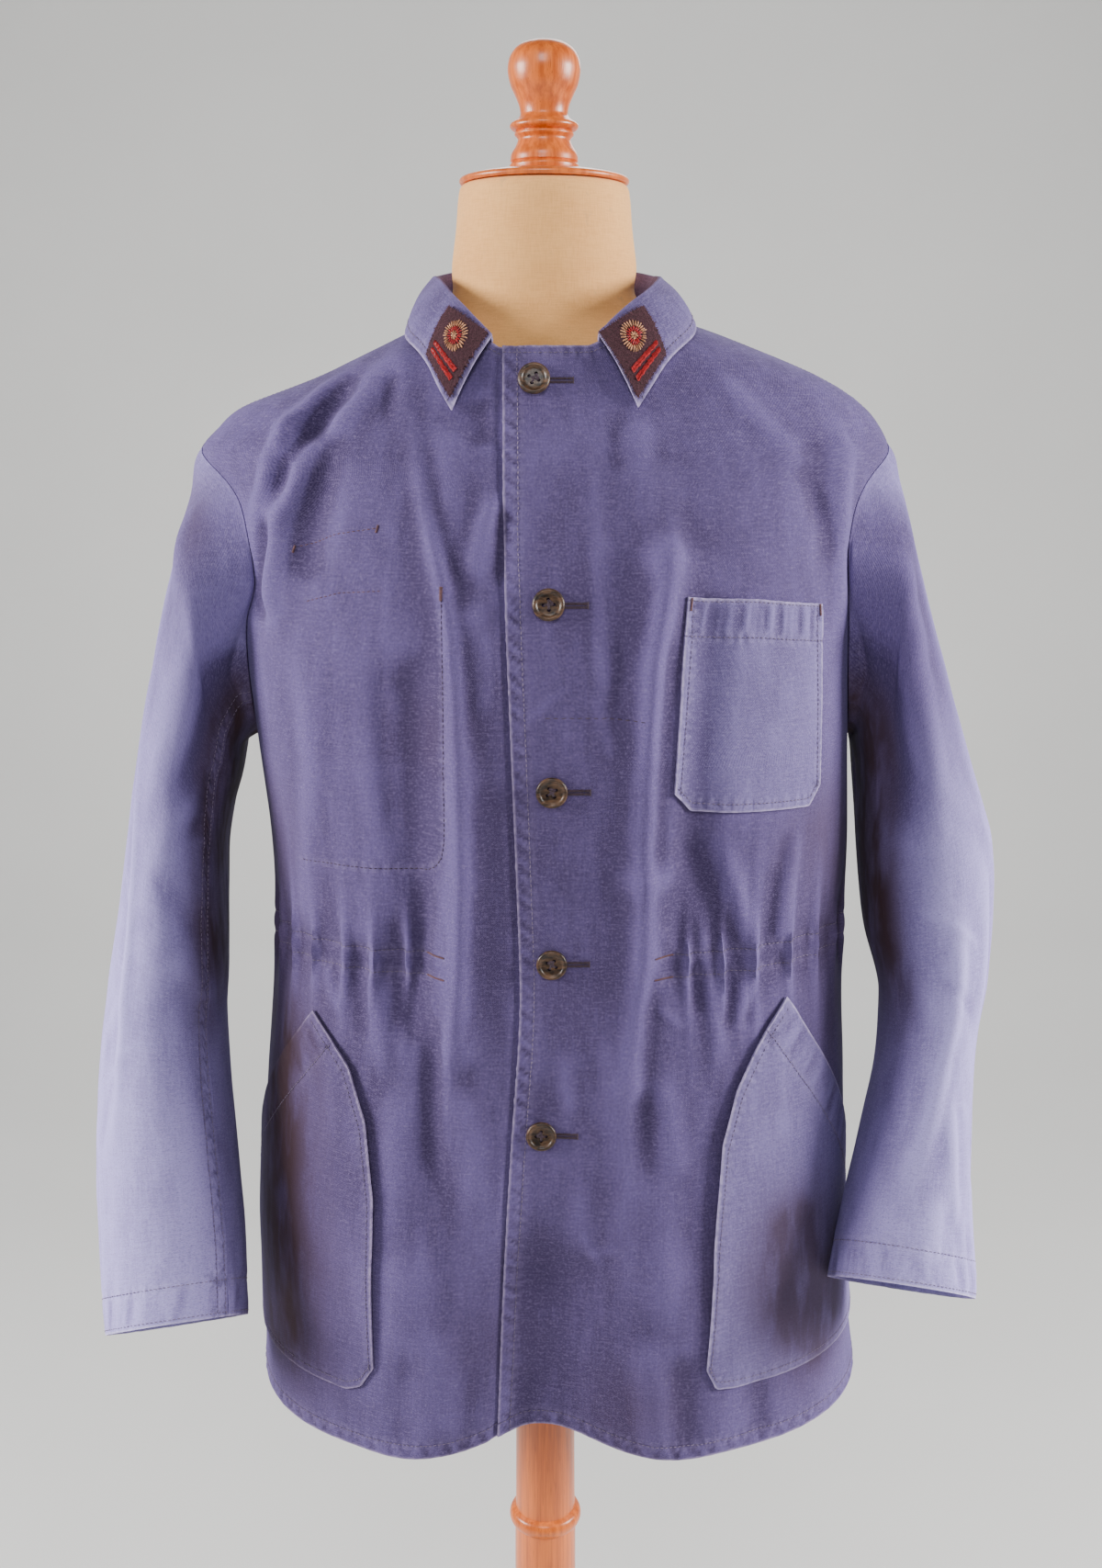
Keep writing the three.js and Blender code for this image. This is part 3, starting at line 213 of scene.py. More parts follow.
# Creases of the sleeves: side, width and height, then each point of its line, as a share round from the armpit past
# the front and a height.
SLEEVE_CREASES: tuple[tuple[float, ...], ...] = (
    (-1, 5, 2.6, 0.36, 1340, 0.347, 1260, 0.343, 1199, 0.303, 1118, 0.29, 1052, 0.28, 1003, 0.297, 917),
    (-1, 9, 2.5, 0.4, 1370, 0.3, 1290), (-1, 8, -3, 0.22, 1330, 0.16, 1230),
    (-1, 11, -2, 0.4, 1330, 0.38, 1230), (-1, 8, -1.8, 0.24, 1120, 0.14, 1060),
    (-1, 8, 1.8, 0.2, 1060, 0.1, 1010), (-1, 9, 1.2, 0.26, 960, 0.36, 905), (-1, 12, 4, 0.6, 1330, 0.7, 1200),
    (-1, 14, -9, 0.15, 1300, 0.17, 1150), (-1, 12, -4, 0.66, 1080, 0.8, 1000),
    (-1, 12, 3, 0.62, 940, 0.76, 880), (-1, 8, -3, 0.12, 1180, 0.16, 1130),
    (-1, 3, 0.8, 0.38, 1120, 0.31, 1090), (-1, 3, 0.8, 0.36, 1060, 0.3, 1040),
    (-1, 3, 0.8, 0.24, 1000, 0.33, 968), (-1, 5, 1.2, 0.38, 1020, 0.375, 900, 0.38, 800),
    (-1, 8, -1.2, 0.23, 1240, 0.25, 1120), (1, 5, 1.2, 0.36, 1350, 0.36, 1180),
    (1, 16, -11, 0.18, 1350, 0.16, 1130), (1, 9, 3, 0.3, 1370, 0.26, 1250), (1, 10, 2.2, 0.3, 1300, 0.24, 1160),
    (1, 6, 3, 0.25, 1092, 0.234, 1006, 0.205, 903), (1, 6, 2.4, 0.249, 968, 0.32, 868),
    (1, 6, -2.2, 0.4, 1024, 0.432, 861), (1, 7, 1.8, 0.33, 1120, 0.35, 1010), (1, 5, 1.6, 0.4, 905, 0.42, 820),
    (1, 5, 1.4, 0.34, 880, 0.36, 820), (1, 8, 1.6, 0.26, 900, 0.24, 850), (1, 3, 1, 0.18, 1090, 0.3, 1062),
    (1, 3, -1, 0.2, 1042, 0.31, 1012), (1, 3, 0.8, 0.28, 960, 0.36, 942), (1, 12, 4, 0.62, 1330, 0.7, 1200),
    (1, 12, -4, 0.66, 1090, 0.8, 1010), (1, 12, 3, 0.62, 950, 0.76, 890))
SLEEVE_GIRTH = 340.0

COLLAR = Table("turn rollOut rollUp edgeTurn edgeZ lift", [
    (20, 3, 5, 29.5, 1415, 3), (36, 4, 15, 42, 1444, 3), (55, 5, 18, 58, 1461.5, 3.5),
    (75, 6, 18, 76, 1473.5, 4), (90, 7, 17, 90, 1477, 4), (120, 7, 22, 120, 1471, 3.5),
    (150, 7, 28, 150, 1460, 3), (180, 7, 31, 180, 1455, 3)])

NECK_LINEN = Table("z left right front back", [
    (812, 148, 148, 104, 106), (860, 163, 163, 110, 112), (950, 165, 165, 112, 112),
    (1060, 142, 142, 98, 95), (1180, 158, 158, 114, 106), (1270, 165, 165, 118, 112),
    (1340, 178, 180, 110, 108), (1385, 192, 199, 96, 104), (1406, 196, 206, 90, 100),
    (1424.7, 184, 206, 86, 101), (1437.7, 151, 184, 82, 95), (1454.7, 114, 143, 75, 84),
    (1465.7, 91, 114, 69, 75), (1476, 69.5, 78, 62, 63), (1489, 62.4, 62.8, 59, 59.5),
    (1511, 61.5, 61.5, 59, 59), (1534, 58.5, 58.5, 57, 57), (1552, 57, 57, 56.4, 56.4)])


def smooth_step(low: float, high: float, value: np.ndarray | float) -> np.ndarray:
    """Rises softly from 0 to 1 between two values."""
    t = np.clip((np.asarray(value, float) - low) / (high - low), 0, 1)
    return t * t * (3 - 2 * t)


def wander(x: np.ndarray, seed: float) -> np.ndarray:
    """A smooth, uneven wave between about -1 and 1, always the same for a seed."""
    return (np.sin(x + seed) + 0.7 * np.sin(x * 1.618 + seed * 2.3) + 0.5 * np.sin(x * 2.71 + seed * 5.1)) / 2.2


def unit(vector: np.ndarray) -> np.ndarray:
    """Brings vectors to length 1."""
    return vector / np.maximum(np.linalg.norm(vector, axis=-1, keepdims=True), TINY)


def run_along(line: np.ndarray) -> np.ndarray:
    """Distance of each point of a line from its start."""
    return np.concatenate([[0], np.cumsum(np.linalg.norm(np.diff(line, axis=0), axis=-1))])


def tint(colour: Colour, share: float) -> Colour:
    """Darkens or lightens a colour."""
    return tuple(min(1.0, part * share) for part in colour)


def line_height(table: Table, rows: np.ndarray, x: np.ndarray, z: np.ndarray) -> np.ndarray:
    """Adds up soft ridges and troughs along straight lines.

    Args:
        table: The table of lines.
        rows: Which of its rows to use.
        x: First place of each point.
        z: Second place of each point.

    Returns:
        The height at each point.
    """
    x0, z0, x1, z1 = (table.column(name) for name in ("x0", "z0", "x1", "z1"))
    total = np.zeros_like(x)
    for i in np.flatnonzero(rows):
        run = (x1[i] - x0[i], z1[i] - z0[i])
        dx, dz = x - x0[i], z - z0[i]
        t = np.clip((dx * run[0] + dz * run[1]) / (run[0] ** 2 + run[1] ** 2), 0, 1)
        far = np.hypot(dx - t * run[0], dz - t * run[1]) / table.column("wide")[i]
        total += table.column("high")[i] * np.exp(-far ** 2)
    return total


def crease(x: np.ndarray, z: np.ndarray, line: np.ndarray, wide: float) -> np.ndarray:
    """Shape of one crease that runs out softly at both ends.

    Args:
        x: First place of each point.
        z: Second place of each point.
        line: The points that the crease follows.
        wide: Half of its width.

    Returns:
        A share from 0 to 1 at each point.
    """
    length = np.linalg.norm(np.diff(line, axis=0), axis=1)
    total, nearest_far, place = length.sum(), np.full(x.shape, 1e9), np.zeros(x.shape)
    start = 0.0
    for (x0, z0), (x1, z1), size in zip(line[:-1], line[1:], length):
        t = np.clip(((x - x0) * (x1 - x0) + (z - z0) * (z1 - z0)) / size ** 2, 0, 1)
        far = np.hypot(x - x0 - t * (x1 - x0), z - z0 - t * (z1 - z0))
        place = np.where(far < nearest_far, (start + t * size) / total, place)
        nearest_far = np.minimum(far, nearest_far)
        start += size
    ends = smooth_step(-0.05, 0.25, place) * smooth_step(1.05, 0.75, place)
    return ends * np.exp(-(nearest_far / wide) ** 2)


class BodyShape:
    """The worn body of the jacket, as a surface over turns round it and heights."""

    waist = 1063.0
    gathers = 8.0

    def plain(self, turn: np.ndarray, z: np.ndarray) -> np.ndarray:
        """Points of the body without folds."""
        across, ahead = np.sin(np.radians(turn)), np.cos(np.radians(turn))
        mid = RINGS.at(z, "mid")
        side = np.where(across < 0, RINGS.at(z, "left"), RINGS.at(z, "right"))
        depth = np.where(ahead > 0, RINGS.at(z, "front") + mid, RINGS.at(z, "back") - mid)
        power = RINGS.at(z, "square")
        reach = ((np.abs(across) / side) ** power + (np.abs(ahead) / depth) ** power) ** (-1 / power)
        return np.stack([reach * across, mid - reach * ahead, z + 0 * reach], -1)

    def normal(self, turn: np.ndarray, z: np.ndarray) -> np.ndarray:
        """Outward directions of the body without folds."""
        high = np.minimum(z + 1, TOP)
        rounding = self.plain(turn + 0.4, z) - self.plain(turn - 0.4, z)
        return unit(np.cross(rounding, self.plain(turn, high) - self.plain(turn, high - 2)))

    def relief(self, turn: np.ndarray, z: np.ndarray) -> np.ndarray:
        """Height of the folds, creases and gathers above the plain body.

        Args:
            turn: Degrees round the body, 0 at the front.
            z: Heights.

        Returns:
            Millimetres outwards.
        """
        point = self.plain(turn, z)
        face = np.where(np.cos(np.radians(turn)) > 0, 1.0, -1.0)
        away = np.abs(((turn + 180) % 360) - 180)
        total = np.zeros_like(point[..., 0])
        for side in (1.0, -1.0):
            height = line_height(FOLDS, FOLDS.column("face") == side, point[..., 0], z)
            total += np.where(face == side, height, 0)
        for side, wide, high, *line in CREASES:
            shape = crease(point[..., 0], z, np.reshape(line, (-1, 2)), wide)
            total += np.where(face == side, high * shape, 0)
        total *= smooth_step(92, 82, away) + smooth_step(88, 98, away)
        start = np.where(turn < 0, 27.0, 27.5)
        run = np.clip((away - start) / (88 - start), 0, 1)
        ends = smooth_step(0, 0.08, run) * smooth_step(1, 0.92, run) * (face > 0)
        seed = np.where(turn < 0, 1.3, 4.1)
        phase = run * self.gathers * 2 * math.pi + 0.5 * wander(run * 21, 0.7)
        reach = 24 * (1 + 0.35 * wander(run * 17, seed))
        near = np.exp(-((z - self.waist) / reach) ** 2)
        far = 0.25 * np.exp(-((z - self.waist) / 62) ** 2) * (1 + 0.6 * wander(run * 11, seed))
        ridge = 1.9 * np.exp(2.4 * (np.cos(phase) - 1)) - 1.15
        total += 2.6 * ends * (near + far) * ridge
        pinch = np.exp(-((z - 1071) / 3.2) ** 2) + np.exp(-((z - 1056) / 3.2) ** 2)
        total -= 0.5 * pinch * ends
        total += 0.55 * wander(point[..., 0] * 0.045 + z * 0.021, 0.4) * wander(z * 0.043, 2.2)
        return total

    def point(self, turn: np.ndarray, z: np.ndarray) -> np.ndarray:
        """Points of the body with its folds."""
        return self.plain(turn, z) + self.normal(turn, z) * self.relief(turn, z)[..., None]

    def turn_at(self, x: np.ndarray, z: np.ndarray) -> np.ndarray:
        """Turns at which the front has the given x."""
        turn = np.zeros(np.broadcast(x, z).shape)
        for _ in range(24):
            ahead = RINGS.at(z, "mid") - self.plain(turn, z)[..., 1]
            turn = np.degrees(np.arctan2(x, ahead)) * 0.7 + turn * 0.3
        return turn

    def row_height(self, z: np.ndarray, turn: np.ndarray) -> np.ndarray:
        """Heights of a panel's row, bent to the neckline at the top and raised at the middle of the hem."""
        away = np.abs(turn)
        share = np.where(away > 90, 1, NECK_SHAPE.at(away, "share"))
        neck = 31 * smooth_step(1300, TOP, z) * (1 - share)
        hem = 20 * np.exp(-(away / 17) ** 2) * smooth_step(850, HEM, z) * (away < 90)
        return z - neck + hem

    def seam_turn(self, z: np.ndarray, edge: str) -> np.ndarray:
        """Turns at which a panel ends at its side seam, armhole or shoulder seam."""
        gap = 0.05
        inside = (z > ARMPIT) & (z < TIP)
        return np.where(inside, np.minimum(ARMHOLE.at(z, edge), 90 - gap), 90 - gap)


class Thread(Enum):
    """Sewing threads, by colour."""

    FADED = (0.17, 0.125, 0.205)
    PURPLE = (0.050, 0.024, 0.042)
    RUST = (0.115, 0.042, 0.050)


@dataclass
class Seam:
    """A line of stitches on a sheet.

    Attributes:
        path: Points along the line, in millimetres.
        normal: Outward directions there.
        thread: The thread's colour.
        pitch: Length of one stitch.
        worn: How strongly the cloth puckers and fades beside the line.
        bar: Length of the stitches of a bar tack, laid across the line, or 0.
    """

    path: np.ndarray
    normal: np.ndarray
    thread: Thread = Thread.FADED
    pitch: float = 3.2
    worn: float = 1.0
    bar: float = 0.0


@dataclass
class Sheet:
    """A piece of cloth as a regular grid of points on its outer face.

    Attributes:
        name: The piece's name.
        grid: Points, rows by columns by three, in millimetres.
        cloth: Flat places of the points, for the weave, in millimetres.
        wall: Thickness.
        edges: Which borders are finished edges: bottom, top, left, right.
        high: Height of the folds at each point.
        dirt_and_shade: Grime at each point, and painted shade on the body's sides, beside a lower pocket and under the
            arms.
        washed: How much of its dye each point has lost; on the sleeves it also holds painted shade on the inner and
            upper parts and painted light on the outer side.
        seams: Its lines of stitches.
    """

    name: str
    grid: np.ndarray
    cloth: np.ndarray
    wall: float = WALL
    edges: str = ""
    high: np.ndarray | None = None
    dirt_and_shade: np.ndarray | None = None
    washed: np.ndarray | float = 0.0
    seams: list[Seam] = field(default_factory=list)

    def normals(self) -> np.ndarray:
        """Outward directions of the grid."""
        down, along = np.gradient(self.grid, axis=0), np.gradient(self.grid, axis=1)
        return unit(np.cross(along, down))

    def sample(self, places: np.ndarray, source: np.ndarray) -> np.ndarray:
        """Reads a grid of values at places between its rows and columns.

        Args:
            places: Rows and columns, with fractions, in the last axis.
            source: The values, rows by columns by any.

        Returns:
            The values there.
        """
        rows, columns = source.shape[:2]
        r = np.clip(places[..., 0], 0, rows - 1.001)
        c = np.clip(places[..., 1], 0, columns - 1.001)
        i, j = r.astype(int), c.astype(int)
        p, q = (r - i)[..., None], (c - j)[..., None]
        low = source[i, j] * (1 - q) + source[i, j + 1] * q
        high = source[i + 1, j] * (1 - q) + source[i + 1, j + 1] * q
        return low * (1 - p) + high * p

    def reach(self, side: str) -> np.ndarray:
        """How far each point lies from a border, border line first, as steps by places along it."""
        upright = side in ("bottom", "top")
        step = np.linalg.norm(np.diff(self.grid, axis=0 if upright else 1), axis=-1)
        step = step if upright else step.T
        step = step[::-1] if side in ("top", "right") else step
        return np.vstack([np.zeros(step.shape[1]), np.cumsum(step, axis=0)])

    def ripple(self, side: str, deep: float, high: float, pitch: float, slant: float = 0.0, seed: float = 0.0,
               start: float = -1.0) -> None:
        """Puckers the band between a border and its row of stitches.

        Args:
            side: bottom, top, left or right.
            deep: Width of the band.
            high: Height of the ripples.
            pitch: Distance from one ripple to the next.
            slant: How far a ripple leans along the border for each millimetre from it.
            seed: Changes the ripples' places.
            start: Share of the border where they start.
        """
        far = self.reach(side)
        run = run_along(self.border(side))
        phase = (run[None, :] + slant * far) * 2 * math.pi / pitch
        uneven = (0.7 + 0.3 * wander(run * 0.043, seed + 2)) * smooth_step(start, start + 0.1, run / run[-1])
        wave = high * wander(phase * 0.62, seed) * np.sin(math.pi * np.clip(far / deep, 0, 1)) ** 0.6 * uneven
        wave = wave[::-1] if side in ("top", "right") else wave
        wave = wave if side in ("bottom", "top") else wave.T
        self.grid = self.grid + self.normals() * wave[..., None]
        # The puckers count three times over in the fold heights. The cloth paints them paler on the crests as wear and
        # darker in the troughs as painted shade.
        self.high = wave * 3.0 + (self.high if self.high is not None else 0)

    def border(self, side: str) -> np.ndarray:
        """Points of one border."""
        return {"bottom": self.grid[0], "top": self.grid[-1], "left": self.grid[:, 0], "right": self.grid[:, -1]}[side]

    def inset(self, side: str, far: float, start: float = 0.0, end: float = 1.0) -> np.ndarray:
        """Places of a line that runs beside a border.

        Args:
            side: bottom, top, left or right.
            far: How far from the border, in millimetres.
            start: Share of the border where it starts.
            end: Share of the border where it ends.

        Returns:
            Rows and columns along the line.
        """
        rows, columns = self.grid.shape[:2]
        count = columns if side in ("bottom", "top") else rows
        line = np.linspace(start, end, 3 * count) * (count - 1)
        reach = self.reach(side)
        across = np.array([np.interp(far, reach[:, k], np.arange(len(reach))) for k in range(count)])
        across = np.interp(line, np.arange(count), across)
        if side in ("top", "right"):
            across = (rows if side == "top" else columns) - 1 - across
        pair = (across, line) if side in ("bottom", "top") else (line, across)
        return np.stack(pair, -1)

    def sew(self, places: np.ndarray, thread: Thread = Thread.FADED, pitch: float = 3.2, worn: float = 1.0) -> None:
        """Adds a line of stitches along places of the grid."""
        path, normal = self.sample(places, self.grid), self.sample(places, self.normals())
        self.seams.append(Seam(path, normal, thread, pitch, worn))

    def tack(self, places: np.ndarray, thread: Thread = Thread.PURPLE, wide: float = 2.2) -> None:
        """Works a bar tack along places of the grid."""
        self.sew(resample(places, 12), thread, 0.55, 0.3)
        self.seams[-1].bar = wide

    def patch(self, name: str, places: np.ndarray, lift: float, wall: float = WALL, edges: str = "") -> "Sheet":
        """Lays another piece of cloth on this one.

        Args:
            name: The new piece's name.
            places: The places of this grid under its own points.
            lift: How far it lies above this cloth.
            wall: Its thickness.
            edges: Its finished edges.

        Returns:
            The new piece.
        """
        base = self.sample(places, self.grid)
        grid = base + self.sample(places, self.normals()) * (lift + wall)
        high = self.sample(places, self.high[..., None])[..., 0] if self.high is not None else None
        return Sheet(name, grid, self.sample(places, self.cloth), wall, edges, high)


def local_height(high: np.ndarray, reach: int = 5) -> np.ndarray:
    """How far each point stands above its surroundings.

    Args:
        high: Heights on a grid.
        reach: Grid steps that count as surroundings.

    Returns:
        Heights above the smoothed grid.
    """
    soft = high
    for _ in range(2):
        for axis in (0, 1):
            padded = np.concatenate([np.repeat(soft.take([0], axis), reach, axis), soft,
                                     np.repeat(soft.take([-1], axis), reach, axis)], axis)
            total = np.cumsum(padded, axis)
            total = np.concatenate([np.zeros_like(total.take([0], axis)), total], axis)
            size = soft.shape[axis]
            later = total.take(np.arange(size) + 2 * reach + 1, axis)
            soft = (later - total.take(np.arange(size), axis)) / (2 * reach + 1)
    return high - soft


def resample(line: np.ndarray, count: int) -> np.ndarray:
    """Spreads points evenly along a line of places."""
    reach = run_along(line)
    even = np.linspace(0, reach[-1], count)
    return np.stack([np.interp(even, reach, line[:, k]) for k in range(line.shape[1])], -1)


def fill(sides: Sequence[np.ndarray], shape: tuple[int, int]) -> np.ndarray:
    """Spreads a grid of places between four borders.

    Args:
        sides: The bottom, top, left and right borders.
        shape: Rows and columns.

    Returns:
        The grid.
    """
    rows, columns = shape
    bottom, top = (resample(line, columns) for line in sides[:2])
    left, right = (resample(line, rows) for line in sides[2:])
    v = np.linspace(0, 1, rows)[:, None, None]
    u = np.linspace(0, 1, columns)[None, :, None]
    return (bottom[None] * (1 - v) + top[None] * v + left[:, None] * (1 - u) + right[:, None] * u
            - (1 - u) * (1 - v) * bottom[0] - u * (1 - v) * bottom[-1] - (1 - u) * v * top[0] - u * v * top[-1])


def nearest(points: np.ndarray, lines: Sequence[np.ndarray]) -> tuple[np.ndarray, np.ndarray, np.ndarray]:
    """Finds how far points are from a set of lines.

    Args:
        points: Points in millimetres.
        lines: Lines as arrays of points.

    Returns:
        The distance, how far along its line the nearest place is, and which line it is on.
    """
    flat = points.reshape(-1, 3)
    step = 1.6
    if not lines:
        far = np.full(points.shape[:-1], 60.0)
        return far, far * 0, far * 0
    fine = [resample(line, max(4, int(run_along(line)[-1] / step))) for line in lines]
    tree = KDTree(sum(len(line) for line in fine))
    along, owner = [], []
    for k, line in enumerate(fine):
        for i, place in enumerate(line):
            tree.insert(Vector(place), len(along))
            along.append(i * step)
            owner.append(k)
    tree.balance()
    found = [tree.find(Vector(place)) for place in flat]
    far = np.array([item[2] for item in found]).reshape(points.shape[:-1])
    index = np.array([item[1] for item in found])
    shape = points.shape[:-1]
    return far, np.array(along)[index].reshape(shape), np.array(owner)[index].reshape(shape)


def link(name: str, data: bpy.types.ID) -> bpy.types.Object:
    """Puts a mesh, light or camera into the scene."""
    thing = bpy.data.objects.new(name, data)
    bpy.context.scene.collection.objects.link(thing)
    return thing


def new_object(name: str, vertices: np.ndarray, faces: list[tuple[int, ...]], sharp: float = 40.0) -> bpy.types.Object:
    """Makes a smooth mesh object from millimetres.

    Args:
        name: The object's name.
        vertices: Its points.
        faces: Its faces.
        sharp: Edges that turn more than this many degrees stay crisp.

    Returns:
        The object, riding on the body.
    """
    mesh = bpy.data.meshes.new(name)
    mesh.from_pydata((vertices * MM).tolist(), [], faces)
    mesh.polygons.foreach_set("use_smooth", [True] * len(mesh.polygons))
    mesh.set_sharp_from_angle(angle=math.radians(sharp))
    thing = link(name, mesh)
    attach(thing, ROOT)
    return thing


def grid_faces(rows: int, columns: int, start: int, turned: bool) -> list[tuple[int, ...]]:
    """Faces of a regular grid of points.

    Args:
        rows: Rows of points.
        columns: Columns of points.
        start: Index of the first point.
        turned: True to face the other way.

    Returns:
        The four-cornered faces.
    """
    index = start + np.arange(rows * columns).reshape(rows, columns)
    corners = [index[:-1, :-1], index[:-1, 1:], index[1:, 1:], index[1:, :-1]]
    if turned:
        corners.reverse()
    return [tuple(face) for face in np.stack(corners, -1).reshape(-1, 4).tolist()]


def build_sheet(sheet: Sheet, material: bpy.types.Material) -> bpy.types.Object:
    """Builds a piece of cloth with its inner face and edges, and what its material reads.

    Args:
        sheet: The piece.
        material: Its finish.

    Returns:
        The finished object.
    """
    rows, columns = sheet.grid.shape[:2]
    count = rows * columns
    normal = sheet.normals()
    worn = nearest(sheet.grid, [sheet.border(name) for name in sheet.edges.split()])[0]
    far, run, owner = nearest(sheet.grid, [seam.path for seam in sheet.seams])
    weight = np.array([seam.worn for seam in sheet.seams] or [0.0])[owner.astype(int)]
    groove = weight * np.exp(-(far / 1.8) ** 2)
    pucker = weight * np.exp(-(far / 6.5) ** 2) * wander(run * 0.72, 1.1) * (0.6 + 0.4 * wander(run * 0.05, 2.0))
    roll = np.exp(-(worn / 1.2) ** 2)
    outer = sheet.grid + normal * (0.62 * pucker - 0.42 * groove - 0.35 * roll)[..., None]
    inner = sheet.grid - normal * sheet.wall
    faces = grid_faces(rows, columns, 0, False) + grid_faces(rows, columns, count, True)
    index = np.arange(count).reshape(rows, columns)
    ring = np.concatenate([index[0, :-1], index[:-1, -1], index[-1, :0:-1], index[:0:-1, 0]])
    following = np.roll(ring, -1)
    faces += [(int(b), int(a), int(a) + count, int(b) + count) for a, b in zip(ring, following)]
    thing = new_object(f"cloth_{sheet.name}", np.concatenate([outer.reshape(-1, 3), inner.reshape(-1, 3)]), faces, 60)
    mesh = thing.data
    high = local_height(sheet.high) if sheet.high is not None else np.zeros((rows, columns))
    dirt_and_shade = sheet.dirt_and_shade if sheet.dirt_and_shade is not None else np.zeros((rows, columns))
    washed = sheet.washed + np.zeros((rows, columns))
    for name, values in {"worn": worn, "seam": far / np.maximum(weight, 0.05), "run": run, "high": high,
                         "dirt_and_shade": dirt_and_shade, "washed": washed}.items():
        layer = mesh.attributes.new(name, "FLOAT", "POINT")
        layer.data.foreach_set("value", np.tile(values.reshape(-1), 2).astype(np.float32))
    places = np.tile(sheet.cloth.reshape(-1, 2), (2, 1))
    loops = np.empty(len(mesh.loops), np.int32)
    mesh.loops.foreach_get("vertex_index", loops)
    mesh.uv_layers.new(name="cloth").data.foreach_set("uv", places[loops].reshape(-1).astype(np.float32))
    mesh.materials.append(material)
    return thing


class Wires:
    """Builds a procedural material from small steps."""

    def __init__(self, name: str) -> None:
        """Starts a material with one principled shader."""
        self.material = bpy.data.materials.new(name)
        self.material.use_nodes = True
        self.tree = self.material.node_tree
        self.shader = self.tree.nodes["Principled BSDF"]

    def node(self, kind: str, **inputs: object) -> bpy.types.Node:
        """Adds a node and fills its inputs.

        Args:
            kind: The node's type, without its prefix.
            inputs: Values or sockets, by input name with spaces as underscores.

        Returns:
            The node.
        """
        node = self.tree.nodes.new("ShaderNode" + kind)
        for name, value in inputs.items():
            self.feed(node.inputs[name.replace("_", " ")], value)
        return node

    def feed(self, socket: bpy.types.NodeSocket, value: object) -> None:
        """Links a socket or sets a plain value."""
        if isinstance(value, bpy.types.NodeSocket):
            self.tree.links.new(value, socket)
        else:
            socket.default_value = value

    def math(self, operation: str, a: object, b: object = 0.0, clamp: bool = False) -> bpy.types.NodeSocket:
        """Adds a sum, product or other step between two values."""
        node = self.tree.nodes.new("ShaderNodeMath")
        node.operation, node.use_clamp = operation, clamp
        self.feed(node.inputs[0], a)
        self.feed(node.inputs[1], b)
        return node.outputs[0]

    def mix(self, share: object, a: object, b: object) -> bpy.types.NodeSocket:
        """Mixes two colours by a share."""
        node = self.tree.nodes.new("ShaderNodeMix")
        node.data_type = "RGBA"
        for socket, value in ((node.inputs[0], share), (node.inputs[6], a), (node.inputs[7], b)):
            self.feed(socket, value if isinstance(value, (bpy.types.NodeSocket, float)) else (*value, 1.0))
        return node.outputs[2]

    def noise(self, vector: object, scale: float, detail: float = 2.0, rough: float = 0.5) -> bpy.types.NodeSocket:
        """Adds cloudy noise at a scale."""
        return self.node("TexNoise", Vector=vector, Scale=scale, Detail=detail, Roughness=rough).outputs[0]

    def stretched(self, vector: object, x: float, y: float, z: float = 1.0, turn: float = 0.0) -> bpy.types.NodeSocket:
        """Scales and turns a vector, for grain and streaks."""
        return self.node("Mapping", Vector=vector, Scale=(x, y, z), Rotation=(0.0, 0.0, turn)).outputs[0]

    def range(self, value: object, low: float, high: float, to_low: float = 0.0,
              to_high: float = 1.0) -> bpy.types.NodeSocket:
        """Maps a span of values onto another, softly at both ends."""
        node = self.tree.nodes.new("ShaderNodeMapRange")
        node.interpolation_type = "SMOOTHSTEP"
        for i, item in enumerate((value, low, high, to_low, to_high)):
            self.feed(node.inputs[i], item)
        return node.outputs[0]

    def attribute(self, name: str) -> bpy.types.NodeSocket:
        """Reads a value stored on the mesh's points."""
        node = self.tree.nodes.new("ShaderNodeAttribute")
        node.attribute_name = name
        return node.outputs["Fac"]

    def place(self, kind: str = "Object") -> bpy.types.NodeSocket:
        """Reads object places or the cloth's flat places."""
        if kind == "cloth":
            node = self.tree.nodes.new("ShaderNodeUVMap")
            node.uv_map = "cloth"
            return node.outputs[0]
        return self.tree.nodes.new("ShaderNodeTexCoord").outputs[kind]

    def wave(self, vector: object, scale: float, distortion: float = 0.0) -> bpy.types.NodeSocket:
        """Adds straight bands across the first axis."""
        return self.node("TexWave", Vector=vector, Scale=scale, Distortion=distortion).outputs[1]

    def bump(self, height: object, distance: float, strength: float = 1.0,
             under: object = None) -> bpy.types.NodeSocket:
        """Turns heights into fine relief."""
        node = self.node("Bump", Height=height, Distance=distance, Strength=strength)
        if under is not None:
            self.feed(node.inputs["Normal"], under)
        return node.outputs[0]

    def finish(self, **inputs: object) -> bpy.types.Material:
        """Fills the shader's inputs and returns the material."""
        for name, value in inputs.items():
            if isinstance(value, tuple):
                value = (*value, 1.0)
            self.feed(self.shader.inputs[name.replace("_", " ")], value)
        return self.material


